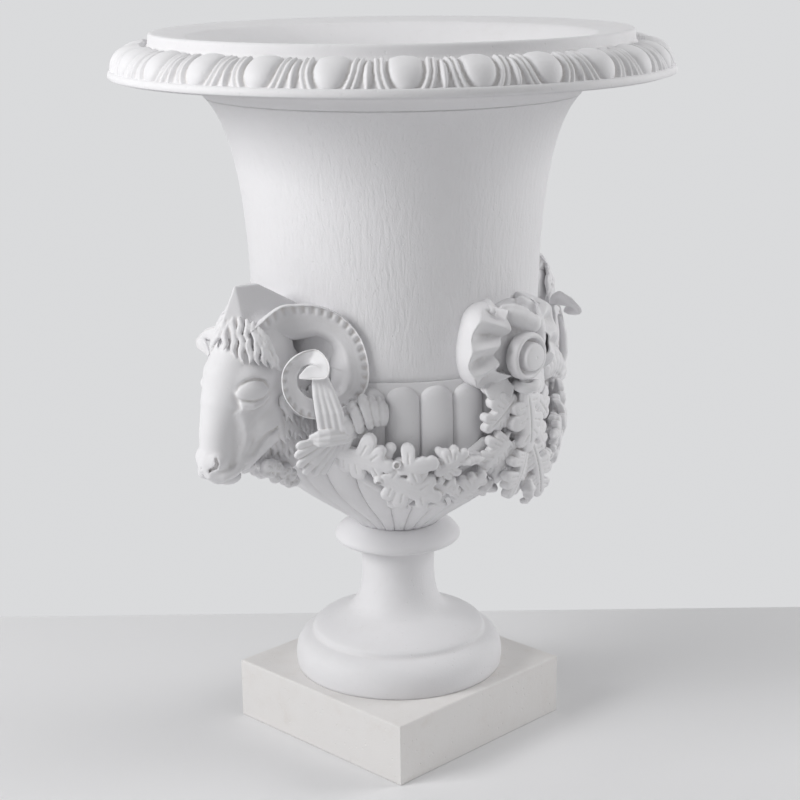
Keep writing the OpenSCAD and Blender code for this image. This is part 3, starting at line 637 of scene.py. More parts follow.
footValues = {"edge": [[147.6, 88.2]],
              "torus": [[148.8, 88.6], [154, 114], [147.5, 131], [128, 138.5]],
              "step": [[126.6, 139.5], [125.2, 141.4], [124.6, 143.4]],
              "dome": [[124.2, 145.2], [120, 154], [94, 159], [73, 172]],
              "waist": [[73, 172], [57, 183], [51.4, 210], [52.4, 238]],
              "neck": [[52.4, 238], [52.9, 253], [53.5, 268], [57, 277.6]],
              "inside": [[56, 277.9], [14, 277.9], [14, 88.3]], "segments": 192}


def footProfile(v):
    return np.vstack([v["edge"], bezierCurve(v["torus"], 22), v["step"], bezierCurve(v["dome"], 18),
                      bezierCurve(v["waist"], 20)[1:], bezierCurve(v["neck"], 10)[1:], v["inside"]])


points, faces = turnedPoints(footProfile(footValues), footValues["segments"])
newPiece("turnedFoot", points, faces, turnedStone, "foot")
print("bell, collar and foot turned")

# Rams' heads, modelled in clay: x is outwards along the ram's axis, y sideways, z up. Only the side y > 0 is written

headValues = {
    "cell": 1.66, "low": (196, -78, 398), "high": (372, 78, 700),
    "middle": {
        "skull": ["add", 4, [[258, 0, 602, 52, 45, 58]]],
        "nape": ["add", 12, [[242, 0, 556, 50, 48, 58]]],
        "romanNose": ["add", 9, [[279, 0, 610, 35], [299, 0, 577, 35], [314, 0, 540, 30], [325, 0, 505, 25],
                                 [329, 0, 478, 22.5]]],
        "face": ["add", 10, [[294, 0, 568, 40], [303, 0, 545, 33]]],
        "muzzle": ["add", 9, [[329, 0, 468, 24, 24, 20]]],
        "upperLip": ["add", 5, [[338, 0, 462, 18], [326, 0, 452, 17], [316, 0, 446, 13]]],
        "chin": ["add", 4, [[309, 0, 441, 16, 14, 10]]]},
    "cheeks": {
        "brow": ["add", 8, [[286, 31, 572, 28, 18, 24]]],
        "cheek": ["add", 9, [[270, 30, 522, 32, 21, 36]]],
        "jaw": ["add", 8, [[246, 32, 514, 20], [264, 30, 500, 17], [282, 24, 482, 15], [300, 17, 464, 13]]],
        "noseMuscle": ["add", 7, [[308, 26, 540, 13], [304, 25, 516, 14], [306, 22, 494, 13], [312, 18, 474, 12]]],
        "nostrilWing": ["add", 4, [[339, 13.5, 472, 12, 11.5, 13]]],
        "lip": ["add", 4, [[346, 8, 453, 7], [333, 17, 451, 8.5], [318, 22, 458, 9], [303, 24, 468, 9]]],
        "hollowBesideNose": ["cut", 7, [[330, 43, 536, 7], [336, 38, 516, 7], [338, 35, 498, 6], [334, 36, 484, 3]]],
        "hollowUnderEye": ["cut", 8, [[298, 56, 530, 6], [300, 50, 510, 6], [296, 43, 492, 5]]],
        "hollowBehindCheek": ["cut", 9, [[256, 60, 540, 9], [248, 60, 512, 8]]]},
    "eyelid": {"place": [300.4, 38.7, 561], "radii": [23, 12, 14.5], "turn": [0.363, 0.932], "blend": 2},
    "eye": {
        "foldOfLid": ["cut", 2.5, [[322, 32.5, 562, 1.2], [316.5, 36, 571.5, 2.0], [308.5, 40.5, 576.5, 2.3],
                                   [298, 44.5, 578, 2.3], [286, 46.5, 574, 2.1], [276, 47, 563, 1.3]]],
        "lowerLid": ["add", 4, [[319, 34, 548, 3.0], [313, 38.5, 544.5, 4.8], [302.5, 43.5, 543.5, 5.6],
                                [290, 45.5, 546, 4.2], [280, 46, 552, 3.0]]],
        "slit": ["cut", 0.8, [[321.5, 34, 555.5, 1.0], [314.7, 39.6, 551.2, 1.9], [303.6, 46.8, 549.6, 2.3],
                              [290.5, 49.2, 551, 2.0], [280.5, 49.3, 555.5, 1.1]]],
        "tearGroove": ["cut", 4.5, [[322.5, 33, 557, 1.8], [320.5, 34.5, 549, 2.8], [319.5, 35, 542, 2.6],
                                    [324, 31.5, 536, 1.2]]],
        "outerCorner": ["cut", 3, [[281, 49.5, 556, 1.6], [271, 49, 558, 2.6], [261, 48.5, 563, 1.6]]],
        "noseLine": ["cut", 6, [[324, 35, 526, 3.0], [320, 36.5, 514, 5.6], [317, 37, 504, 6.2],
                                [318, 34.5, 491, 6.0], [322, 30, 477, 5.0], [327, 26, 466, 2.6]]],
        "cheekLine": ["cut", 6, [[270, 51, 545, 2.0], [283, 51.5, 532, 4.0], [297, 47.5, 520, 4.0],
                                 [307, 42, 511, 2.2]]],
        "jawLine": ["cut", 4, [[266, 47, 508, 2.0], [280, 44, 501, 3.4], [288.5, 38, 490, 3.4], [296, 34, 476, 2.2]]],
        "nostril": ["cut", 1.2, [[346, 19.5, 476.5, 1.9], [345, 19, 470, 3.4], [346, 17, 464.5, 2.9],
                                 [349.5, 11, 461.5, 2.3], [350, 6, 454, 1.6]]],
        "mouth": ["cut", 1.4, [[330, 4, 441, 1.6], [324, 11, 441.5, 2.2], [317, 16, 443.5, 2.6],
                               [313, 22, 449.5, 2.8], [311.5, 28, 457, 2.8], [307, 32.5, 463, 1.8]]]},
    "noseTip": {"groove": ["cut", 2, [[354, 0, 463, 1.2], [351, 0, 454, 1.6], [346, 0, 446, 1.2]]]},
    "neck": {
        "back": ["add", 8, [[228, 0, 552, 50], [226, 0, 500, 44], [226, 0, 462, 34], [234, 0, 452, 24]]],
        "throat": ["add", 8, [[252, 0, 476, 24], [244, 0, 452, 20]]]}}

# Poll: a tall ridge with a sharp front edge that falls back to the bell, as planes of [place, way out]
pollValues = {
    "low": (196, -60, 622), "high": (322, 60, 694), "edge": 1.0, "blend": 4.5,
    "planes": [[289, 2, 690, 0.12, 0.92, 0.38], [290, 1.5, 689, 0.66, 0.66, 0.33], [289, 0, 690.5, -0.02, 0, 1],
               [250.5, 0, 687, -0.52, 0, 0.85], [230, 0, 628, 0, 0, -1], [196, 0, 640, -1, 0, 0],
               [262, 46, 640, 0, 0.8, -0.5]]}

# Fringe: two rows of fine wavy locks from the foot of the poll round to the horns
fringeValues = {
    "locks": 16, "radius": 3.8, "swing": 2.3, "length": 1.18, "lengthChange": 0.14, "partingRadius": 0.9, "lift": 4.8,
    "lines": {"top": [[303, 0, 648], [299, 12, 649], [290, 25, 647], [284, 35, 641], [279, 43, 632], [270, 48, 620]],
              "middle": [[314, 0, 634], [308, 16, 631], [299, 30, 626], [290, 42, 618], [280, 49, 610],
                         [267, 52, 602]],
              "foot": [[324, 0, 618], [315, 17, 612], [305, 31, 605], [293, 43, 597], [279, 49, 591],
                       [263, 52, 587]]}}

# Wool of the neck: rows of locks behind the cheek, then curls under the jaw down to the bowl
woolValues = {
    # Rows of locks: where the first lock stands, half width of the neck there, length of the locks
    "rows": [[257, 55, 33], [264, 50, 33], [264, 42, 33], [264, 31, 14]],
    "locks": 8, "back": 50, "top": 548, "drop": 29, "radius": 4.3, "swing": 3.4,
    "curls": 13, "curlRadii": (8.2, 8, 8.2), "swirlReach": 5.4, "swirlRadius": 1.3, "swirlTurns": 1.2,
    "throatCurls": 5, "throatSpacing": 13, "throatRadius": 8}


def wavyLock(start, end, radius, swing, turns, side):
    # A tapering curl of hair or wool between two places, swinging along side
    start, end, side = np.array(start, float), np.array(end, float), np.array(side, float)
    t = np.linspace(0, 1, 9)[:, None]
    line = start + (end - start) * t + side * np.sin(t * turns * 2 * math.pi) * swing * (0.4 + 0.6 * t)
    taper = 1 - 0.75 * np.maximum(0, t - 0.75) / 0.25
    radii = radius * (0.75 + 0.35 * np.sin(np.pi * np.minimum(1, t * 1.3))) * taper
    return stroke(np.hstack([line, radii]))


def addPoll(clay, v):
    planes = []
    for place in v["planes"]:
        for side in (1, -1) if place[1] else (1,):
            x, y, z, outX, outY, outZ = place
            planes.append(((x, y * side, z), (outX, outY * side, outZ)))
    clay.add(block(planes, v["low"], v["high"], v["edge"]), v["blend"])


def addFringe(clay, v):
    last, margin, spread = 120, 4, 3  # in steps along the lines
    lines = {key: smoothRoute([[x, -y, z] for x, y, z in line[:0:-1]] + line, last + 1)
             for key, line in v["lines"].items()}
    for row, (upper, lower) in enumerate((("top", "middle"), ("middle", "foot"))):
        for i in range(v["locks"]):
            k = int(round(margin + (last - 2 * margin) * (i + 0.5 * (row % 2)) / (v["locks"] - 0.5)))
            foot = lines[lower]
            a, b = lines[upper][k], foot[min(k + spread, last) if k > last / 2 else max(k - spread, 0)]
            reach = b - a
            out = unitRows(np.array([0.6, b[1] / 50, 0.2]))
            lean = unitRows(foot[min(k + 2 * spread, last)] - foot[max(k - 2 * spread, 0)])
            swing = v["swing"] * (1 if (i + row) % 3 else -1)
            length = v["length"] + v["lengthChange"] * math.sin(5.1 * i + row)
            clay.add(wavyLock(a - 0.1 * reach + out, a + length * reach + out, v["radius"], swing, 1.2, lean), 1.0)
            lifted = a + v["lift"] * out
            clay.cut(wavyLock(lifted, lifted + 0.95 * reach, v["partingRadius"], swing, 1.0, lean), 0.8)


def addLocks(clay, v, s):
    for row, (first, halfWidth, length) in enumerate(v["rows"]):
        height = v["top"] - v["drop"] * row
        for i in range(v["locks"]):
            a = i / (v["locks"] - 1)
            x = first - v["back"] * a - (4 if row % 2 else 0)
            y = halfWidth * (0.62 + 0.38 * min(1, 2.2 * a)) if row > 1 else halfWidth
            start = (x + 3, (y - 3) * s, height + 4 * math.sin(3 * i))
            end = (x - 5, (y - 1 - 5 * (row > 1)) * s, height - length - 4 * math.sin(2 * i + row))
            clay.add(wavyLock(start, end, v["radius"], v["swing"] * math.cos(1.7 * i + 2 * row), 1.25,
                              (1, 0.1 * s, 0.1)), 1.0)


def addCurls(clay, v, s):
    # Round curls in two rows, each with a spiral groove
    steps = 12
    for i in range(v["curls"]):
        a = (i % 7) / 6 + (i > 6) * 0.08
        middle = np.array([276 - 54 * a, (33 - 5 * a) * s, 447 - 29 * a + 3 * math.sin(2.4 * i)])
        if i > 6:
            middle = middle + np.array([3, 3 * s, 14])
        clay.add(ball(middle, v["curlRadii"]), 2.5)
        span = v["swirlTurns"] * 2 * math.pi
        turn = np.linspace(0, span, steps) + i
        reach = 0.8 + v["swirlReach"] * (turn - i) / span
        swirl = middle + np.stack([np.cos(turn), 0 * turn, np.sin(turn)], -1) * reach[:, None] \
            + np.array([1.5, 6.8 * s, -0.5])
        clay.cut(stroke(np.hstack([swirl, np.full((steps, 1), v["swirlRadius"])])), 0.8)


def addThroatCurls(clay, v):
    # Balls in a row from side to side, every other one set back and up
    for i in range(v["throatCurls"]):
        y = v["throatSpacing"] * (i - (v["throatCurls"] - 1) / 2)
        clay.add(ball((268 - 2 * (i % 2), y, 449 + 3 * (i % 2)), v["throatRadius"]), 1.5)


def ramHead(v):
    clay = Clay(v["low"], v["high"], v["cell"])
    clay.shape(v["middle"])
    for s in (1, -1):
        clay.shape(v["cheeks"], s)
        lid = v["eyelid"]
        sideways, forward = lid["turn"]
        axes = [[-forward, sideways * s, 0], [sideways, forward * s, 0], [0, 0, 1]]
        clay.add(ball(np.array(lid["place"]) * [1, s, 1], lid["radii"], axes), lid["blend"])
        clay.shape(v["eye"], s)
    clay.shape(v["noseTip"])
    addPoll(clay, pollValues)
    addFringe(clay, fringeValues)
    clay.shape(v["neck"])
    for s in (1, -1):
        addLocks(clay, woolValues, s)
        addCurls(clay, woolValues, s)
    addThroatCurls(clay, woolValues)
    cutByWall(clay, -1.0)
    return clay.skin()


headPoints, headFaces = ramHead(headValues)
for name, turnBy in (("left", -1), ("right", 1)):
    newPiece("ramHead_" + name, headPoints * [turnBy, turnBy, 1], headFaces, carvedStone, "ram_head_" + name)
print("rams' heads modelled", len(headFaces))

quarters = {"left_front": (-1, -1), "left_back": (-1, 1), "right_front": (1, -1), "right_back": (1, 1)}


def fourPieces(name, points, faces, node):
    # One shape mirrored to the four quarters of the urn
    for quarter, (sx, sy) in quarters.items():
        turned = faces if sx * sy > 0 else faces[:, ::-1]
        newPiece(name + "_" + quarter, points * [sx, sy, 1], turned, carvedStone, node + "_" + quarter)


# Horns: a flat curved blade between an outer and an inner edge, with a lip, notches, a smooth band and a bead

hornValues = {
    "notches": 42, "notchDepth": 0.36, "rings": 400, "sides": 56, "tipReach": 1.0,
    # Places along the horn: outer edge, inner edge, half thickness
    "pairs": [
        [293.3, 30, 639.6, 253.3, 27, 606.6, 10], [256.4, 41, 663.6, 240.9, 38, 618.6, 10],
        [236.9, 52, 667.2, 223.5, 50, 621.5, 9.5], [213.2, 72, 665, 209.6, 66, 624.4, 9.5],
        [187.6, 92, 648.7, 197.8, 82, 617.2, 9], [170.3, 107, 618.7, 192.4, 94, 603.7, 9],
        [164.1, 113, 581.6, 191.7, 101, 582.6, 8.5], [167.6, 113, 555.1, 191.7, 103, 570.9, 8.5],
        [181.1, 109, 538.9, 199.2, 101, 553.9, 8], [201.3, 103, 527.1, 209.3, 98, 548.5, 8],
        [221.5, 98, 522.7, 222.5, 94, 544.8, 8], [238.8, 91, 521.1, 236.2, 88, 546.3, 7.5],
        [260.4, 83, 530.1, 248.9, 83, 554.8, 7.5], [275.2, 75, 552.1, 254.8, 79, 565.6, 7],
        [276.4, 70, 573.1, 255.6, 78, 577.9, 7], [271.1, 69, 590.7, 251.9, 79, 584.9, 6.5],
        [262.2, 77, 605.5, 247.8, 83, 591, 6.5], [250.3, 88, 613.8, 246.1, 92, 594, 6],
        [239.5, 100, 614.4, 248.7, 97, 597.1, 5.5], [241.3, 118, 607.5, 250, 104, 597.7, 5],
        [244.5, 127, 598.8, 252.6, 110, 599, 4.5], [249.1, 131, 590.9, 253.3, 112, 599, 4.2],
        [250.9, 126, 583.9, 255.6, 112, 599.4, 4], [254.7, 107, 580.3, 260.5, 103, 596.9, 3.4],
        [263.7, 91, 579.4, 262.6, 90, 584.7, 1.5]],
    # Cross-section from the inner edge over the front to the outer edge and back: across and height as shares of
    # the half width and half thickness, then how far the inner side runs on towards the wall where the horn is wide
    "section": [
        [-1, -0.1, -0.75, -2.6], [-0.97, 0.25, -0.35, -0.9], [-0.88, 0.42, -0.1, -0.25], [-0.72, 0.48, 0, 0],
        [-0.4, 0.46, 0, 0], [0, 0.50, 0, 0], [0.3, 0.60, 0, 0], [0.5, 0.68, 0, 0], [0.62, 0.70, 0, 0],
        [0.72, 0.68, 0, 0], [0.82, 0.66, 0, 0], [0.88, 0.72, 0, 0], [0.93, 0.95, 0, 0], [0.965, 1.02, 0, 0],
        [0.99, 0.85, 0, 0], [1.0, 0.62, 0, 0], [0.97, 0.30, 0, 0], [0.86, -0.1, 0, 0], [0.6, -0.6, 0, 0],
        [0.3, -0.9, 0, 0], [0, -1.0, 0, 0], [-0.6, -0.95, -0.1, -0.6], [-0.9, -0.8, -0.5, -2.2],
        [-1.0, -0.5, -0.75, -2.9], [-1, -0.1, -0.75, -2.6]]}


def walkedLength(points):
    # Distance walked along a line of points, from its first point to each
    return np.concatenate([[0], np.cumsum(np.linalg.norm(np.diff(points, axis=0), axis=1))])


def hornMesh(v):
    path = smoothRoute(v["pairs"], v["rings"])
    outer, inner, thick = path[:, :3], path[:, 3:6], path[:, 6]
    along = unitRows(np.gradient((outer + inner) / 2, axis=0))
    wide = np.linalg.norm(outer - inner, axis=1) / 2
    edge = unitRows(outer - inner)
    face = unitRows(np.cross(along, edge))
    centre = (outer + inner) / 2 - face * thick[:, None] * 0.35
    section = np.array(v["section"])
    walked = walkedLength(section[:, :2] * [18.0, 12.0])
    at = np.linspace(0, walked[-1], v["sides"], endpoint=False)
    across, high, inward, low = [np.interp(at, walked, section[:, k]) for k in range(4)]
    length = walkedLength(outer)
    share = (length / length[-1])[:, None]
    # Notches in a row below the bead, fading out at the root and before the tip
    pulse = (0.5 + 0.5 * np.cos(length[:, None] * 2 * math.pi * v["notches"] / length[-1])) ** 1.4
    row = np.exp(-((across - 0.64) / 0.26) ** 4) * (high > 0.33)
    fade = np.clip(share / 0.05, 0, 1) * np.clip((0.80 - share) / 0.05, 0, 1)
    skirt = np.clip(share / 0.06, 0, 1) * np.clip((0.56 - share) / 0.12, 0, 1)
    height = high + low * skirt - v["notchDepth"] * row * pulse * fade
    across = across + inward * skirt
    points = centre[:, None] + edge[:, None] * (wide[:, None] * across)[..., None] \
        + face[:, None] * (thick[:, None] * height)[..., None]
    ends = np.array([centre[0], centre[-1] + along[-1] * v["tipReach"]])
    return closedPiece(np.vstack([points.reshape(-1, 3), ends]), gridFaces(v["rings"], v["sides"], False, True),
                       endCaps(v["rings"], v["sides"]))


hornPoints, hornFaces = hornMesh(hornValues)
fourPieces("horn", hornPoints, hornFaces, "horn")
print("horns curled")

# Oak leaves, cups and acorns for the garlands and the leaf drops

leafShapes = {
    # Rod of the middle [start, end, radius], then fingers [from, to, sideways, radius], all as shares of the length
    "broad": [[0.10, 0.72, 0.185], [0.18, 0.20, 0.28, 0.105], [0.42, 0.50, 0.32, 0.13], [0.64, 0.77, 0.21, 0.105],
              [0.7, 0.89, 0.0, 0.12]],
    "short": [[0.10, 0.62, 0.22], [0.30, 0.36, 0.33, 0.18], [0.6, 0.82, 0.0, 0.19]],
    "long": [[0.02, 0.84, 0.12], [0.10, 0.12, 0.17, 0.075], [0.28, 0.33, 0.23, 0.09], [0.48, 0.55, 0.24, 0.095],
             [0.66, 0.76, 0.17, 0.085], [0.8, 0.93, 0.0, 0.07]]}


def flatRod(a, b, start, end, firstRadius, lastRadius):
    # Distance in the leaf's own plane to a tapering rod
    dx, dy = end[0] - start[0], end[1] - start[1]
    t = np.clip(((a - start[0]) * dx + (b - start[1]) * dy) / (dx * dx + dy * dy), 0, 1)
    away = np.sqrt((a - start[0] - t * dx) ** 2 + (b - start[1] - t * dy) ** 2)
    return away - (firstRadius + t * (lastRadius - firstRadius))


def oakLeaf(stem, tip, shape, broad, arch, lean, rib=0.3, thick=7.0, deep=3.0):
    # broad widens the leaf, arch lifts its middle, lean tips it sideways, deep is how far it goes on into the ground
    stem, tip = np.array(stem, float), np.array(tip, float)
    length = np.linalg.norm(tip - stem)
    u = (tip - stem) / length
    middle = (stem + tip) / 2
    normal = np.array([middle[0], middle[1], 0]) / np.hypot(middle[0], middle[1])
    normal = unitRows(normal - [0, 0, 0.6 * wallSlope(middle[2])])
    normal = unitRows(normal - (normal @ u) * u)
    v = np.cross(normal, u)
    normal = unitRows(normal + lean * v)
    v = np.cross(normal, u)
    spine, fingers = leafShapes[shape][0], leafShapes[shape][1:]

    def distance(x, y, z):
        p = [x - stem[0], y - stem[1], z - stem[2]]
        a = (p[0] * u[0] + p[1] * u[1] + p[2] * u[2]) / length
        b = (p[0] * v[0] + p[1] * v[1] + p[2] * v[2]) / length
        w = p[0] * normal[0] + p[1] * normal[1] + p[2] * normal[2] - arch * length * 4 * a * (1 - a) \
            + 0.5 * length * b * b * broad
        outline = flatRod(a, b, (spine[0], 0), (spine[1], 0), spine[2] * 0.7, spine[2])
        midrib = np.abs(b) + 2 * np.maximum(0, a - 0.86)
        veins = np.full_like(midrib, np.inf)
        for k, (start, end, out, radius) in enumerate(fingers):
            for side in ((1, -1) if out else (1,)):
                shift = 0.03 * side * (1 if k % 2 else -1)
                to = (end + shift, out * broad * side)
                finger = flatRod(a, b, (start + shift, 0), to, radius * 0.8, radius)
                outline = smoothMin(outline, finger, 0.022)
                if out:
                    root = (start + shift + 0.35 * (end - start), 0.35 * to[1])
                    veins = np.minimum(veins, flatRod(a, b, root, (to[0], 0.9 * to[1]), 0, 0))
        inside = -outline * length
        rise = np.sqrt(np.clip(inside / (0.10 * length), 0, 1))
        lines = rib * np.exp(-(midrib * length) ** 2), 1.3 * np.exp(-(veins * length) ** 2)
        top = w - thick / 2 - 1.2 * rise + lines[0] + lines[1]
        body = np.maximum(top, -w - thick / 2 - deep)
        return -smoothMin(inside, -body, 2.6)
    reach = 0.75 * (0.55 * length + thick + deep)
    return np.minimum(stem, tip) - reach, np.maximum(stem, tip) + reach, distance


def addCup(clay, centre, axis, radius, hole):
    centre, axis = np.array(centre, float), unitRows(np.array(axis, float))
    clay.add(stroke([[*(centre - 9 * axis), radius * 0.8], [*(centre - 1.5 * axis), radius]]), 0.8)
    clay.cut(stroke([[*(centre + axis), hole], [*(centre + 12 * axis), hole + 1]]), 0.8)


def addAcorn(clay, start, end, radius):
    start, span = np.array(start, float), np.array(end, float) - np.array(start, float)

    def at(share, size):
        return [*(start + share * span), radius * size]
    clay.add(stroke([at(-0.25, 0.7), at(0.1, 1.12)]), 0.8)
    clay.add(stroke([at(0.2, 0.92), at(0.62, 0.9), at(0.95, 0.5)]), 0.6)
    clay.add(ball(start + 1.1 * span, (1.6, 1.6, 1.6)), 1.5)


def overWall(angle, z, off):
    radius = wallRadius(z) + off
    return [radius * math.cos(math.radians(angle)), radius * math.sin(math.radians(angle)), z]


# Garlands from the ribbon tie to the boss; places are for the quarter x > 0, y > 0

garlandValues = {
    "cell": 1.4, "low": (10, 86, 372), "high": (222, 240, 506),
    # Thick ground of each bunch: turn round the urn, height, radius
    "grounds": [[[29, 476, 10], [36, 452, 12], [44, 430, 13], [54, 422, 13], [64, 434, 13], [72, 452, 12],
                 [78, 470, 9]],
                [[30, 440, 8], [38, 418, 9], [46, 404, 9], [54, 400, 9], [61, 408, 9]]],
    # Leaves: stem, tip, shape, broad, arch, lean
    "leaves": [
        [(134, 136, 396), (112, 126, 377), "short", 1.3, 0.05, 0.1],
        [(108, 148, 392), (86, 140, 376), "short", 1.3, 0.05, -0.1],
        [(88, 158, 394), (66, 156, 377), "short", 1.3, 0.05, 0.1],
        [(58, 164, 382), (50, 192, 397), "short", 1.2, 0.05, 0],
        [(176, 138, 450), (166, 158, 484), "short", 1.1, 0.05, 0.2],
        [(214, 98, 477), (172, 163, 456), "broad", 1.0, 0.04, -0.15],
        [(116, 196, 456), (97, 208, 476), "short", 1.2, 0.05, 0],
        [(165, 167, 452), (127, 201, 461), "short", 1.25, 0.05, 0.15],
        [(122, 193, 442), (90, 219, 471), "broad", 0.95, 0.06, 0.1],
        [(122, 188, 430), (86, 202, 414), "broad", 0.9, 0.10, -0.2],
        [(178, 149, 441), (117, 194, 409), "broad", 1.05, 0.03, 0.05],
        [(84, 192, 398), (62, 224, 437), "broad", 0.9, 0.06, 0],
        [(58, 216, 436), (42, 230, 476), "short", 1.1, 0.05, 0.1],
        [(36, 226, 434), (27, 230, 440), "short", 1.0, 0.0, 0],
        [(22, 237, 484), (58, 222, 444), "broad", 1.0, 0.03, 0.0],
        [(24, 228, 462), (40, 220, 424), "short", 1.1, 0.05, 0.1],
        [(50, 200, 410), (26, 214, 404), "short", 1.1, 0.05, 0.1],
        [(148, 160, 436), (140, 176, 452), "short", 1.2, 0.05, 0]],
    # Cups: place, way they face, radius, hole; acorns: stalk end, tip, radius
    "cups": [[(170, 170, 460), (0.62, 0.75, 0.1), 6.2, 3.6], [(181, 147, 436), (0.55, 0.45, -0.75), 6.8, 3.8]],
    "acorns": [[(88, 220, 458), (71, 229, 459), 6.5], [(54, 212, 410), (46, 224, 421), 7]]}


def garland(v):
    clay = Clay(v["low"], v["high"], v["cell"])
    for ground in v["grounds"]:
        clay.add(stroke([overWall(turn, z, 1) + [radius] for turn, z, radius in ground]), 2)
    for leaf in v["leaves"]:
        clay.add(oakLeaf(*leaf), 0.6)
    for cup in v["cups"]:
        addCup(clay, *cup)
    for acorn in v["acorns"]:
        addAcorn(clay, *acorn)
    cutByWall(clay, -0.5)
    return clay.skin()


garlandPoints, garlandFaces = garland(garlandValues)
fourPieces("oakGarland", garlandPoints, garlandFaces, "garland")
print("garlands hung", len(garlandFaces))

# Ribbon ties: strap, knot, loop, tail and fan

ribbonValues = {
    "cell": 1.25, "low": (146, 56, 438), "high": (270, 168, 582),
    # Strap from behind the horn down to the knot: place, then how far its outer pleats stand off, then their radius
    "strap": {"pleats": 4, "blend": 2.4, "line": [[239, 102, 579, 5, 3.6], [238, 109, 556, 7.5, 4.8],
                                                  [234, 113, 533, 9, 5.4], [228, 111, 511, 9.5, 5.4],
                                                  [222, 107, 499, 6, 4.4]]},
    # Panels of folds or pleats: their upper edge, lower edge, radii there, bulge between, and how many
    "loop": [[[214, 118, 523], [202, 123, 535], [188, 127, 542], [175, 130, 538], [163, 132, 534], [156, 133, 530]],
             [[206, 121, 505], [194, 127, 508], [181, 133, 512], [171, 136, 514], [163, 137, 513], [157, 136, 510]],
             (9.5, 9.0), (3, 5, 1.5), 6],
    "innerPanel": [[[157, 129, 503], [156, 127, 494]], [[196, 116, 500], [196, 114, 493]],
                   (4.2, 4.2), (-2, -2, -1), 2],
    "tail": [[[196, 114, 491], [200, 110, 484]], [[155, 125, 492], [160, 121, 478]],
             (4, 5), (1, 1, 0), 3],
    "fan": [[[234, 100, 494], [226, 103, 491], [214, 106, 489], [206, 106, 488]],
            [[258, 87, 490], [257, 82, 474], [249, 80, 458], [234, 82, 449], [218, 86, 449]],
            (5.0, 9.5), (1, 2, 1), 6],
    "foldTilt": 0.5, "foldPress": 2.0,
    "loopFold": {"edge": ["add", 1.5, [[154, 131, 533, 3.4], [151.5, 132, 520, 4.2], [152, 131, 506, 3.8],
                                       [158, 129, 497, 3.2]]]},
    "loopBack": {"ground": ["add", 2, [[186, 116, 520, 28, 14, 20]]],
                 "root": ["add", 2, [[204, 114, 528, 9], [196, 116, 508, 8]]],
                 "opening": ["cut", 1.5, [[190, 126, 502.5, 2.0], [176, 133, 504.5, 3.4], [162, 137, 505, 3.2]]]},
    "tailEnd": {"step": ["add", 1, [[156, 126, 495, 3], [152, 127, 484, 3.4], [158, 122, 475, 3]]]},
    "fanBack": {"ground": ["add", 2, [[232, 84, 476, 20, 14, 20]]]},
    # Knot of three rods across the strap
    "knotTop": 506, "knotStep": 6.6}


def foldStops(a, b, radii, bulge):
    # A rod's stops from one place to another, bulging in the middle
    return [[*(a + (b - a) * t + np.array(bulge) * 4 * t * (1 - t)), radii[0] + (radii[1] - radii[0]) * t]
            for t in (0, 0.25, 0.5, 0.75, 1.0)]


def pleats(clay, starts, ends, radii, bulge, count):
    # Round pleats side by side
    for a, b in zip(smoothRoute(starts, count), smoothRoute(ends, count)):
        clay.add(stroke(foldStops(a, b, radii, bulge)), 1.0)


def folded(clay, starts, ends, radii, bulge, count, tilt, press):
    # Flat folds side by side, each tilted so that its edge lies over the next
    a, b = smoothRoute(starts, count), smoothRoute(ends, count)
    side = unitRows(np.gradient((a + b) / 2, axis=0))
    for i in range(count):
        out = unitRows(np.cross(side[i], b[i] - a[i]))
        out = out * np.sign(out[0] + out[1])
        clay.add(stroke(foldStops(a[i], b[i], radii, bulge), out + tilt * side[i], press), 0.7)


def ribbonTie(v):
    clay = Clay(v["low"], v["high"], v["cell"])
    strap = v["strap"]
    for i in range(strap["pleats"]):
        k = 2 * i / (strap["pleats"] - 1) - 1
        clay.add(stroke([[x + off * k, y - off * k, z, radius] for x, y, z, off, radius in strap["line"]]),
                 strap["blend"])
    folded(clay, *v["loop"], v["foldTilt"], v["foldPress"])
    clay.shape(v["loopFold"])
    pleats(clay, *v["innerPanel"])
    clay.shape(v["loopBack"])
    pleats(clay, *v["tail"])
    clay.shape(v["tailEnd"])
    folded(clay, *v["fan"], v["foldTilt"], v["foldPress"])
    clay.shape(v["fanBack"])
    for i in range(3):
        z, full = v["knotTop"] - v["knotStep"] * i, 1.5 if i == 1 else 0
        clay.add(stroke([[251, 95, 499 + 0.4 * (z - 500), 2.4], [244, 104, z - 1, 4.6],
                         [234, 111 + full, z + 0.5, 5.6], [214 + full, 119 + full, z + 1, 5.6],
                         [199, 119, 500.5 + 0.7 * (z - 500), 4.6], [189, 116, 500 + 0.3 * (z - 500), 3.0]]), 1.0)
    cutByWall(clay, -0.5)
    return clay.skin()


ribbonPoints, ribbonFaces = ribbonTie(ribbonValues)
fourPieces("ribbonTie", ribbonPoints, ribbonFaces, "ribbon")
print("ribbons tied", len(ribbonFaces))

# Bows, bosses, rings and leaf drops: x is outwards from the urn, y sideways, z up


def frontAndBack(name, points, faces, node):
    for side, turnBy in (("front", 1), ("back", -1)):
        turned = np.stack([turnBy * points[:, 1], -turnBy * points[:, 0], points[:, 2]], -1)
        newPiece(name + "_" + side, turned, faces, carvedStone, node + "_" + side)


frillValues = {
    "pleats": 4, "depth": 6.6, "lip": 3.4, "rows": 200, "ridgeOut": 222.0, "innerOut": 236.0, "bossHeight": 597,
    # Lines of [y, z] round the left frill: on the wall, along the crest and along the free edge
    "outer": [[-36, 660], [-52, 657], [-64, 645], [-70, 622], [-73, 597], [-71, 574], [-64, 556], [-50, 545]],
    "ridge": [[-38, 655], [-57, 651], [-74, 636], [-84, 612], [-88, 590], [-82, 569], [-66, 553], [-50, 546]],
    "inner": [[-31, 652], [-29, 636], [-29, 620], [-43, 612], [-55, 599], [-51, 585], [-45, 572], [-25, 563]]}


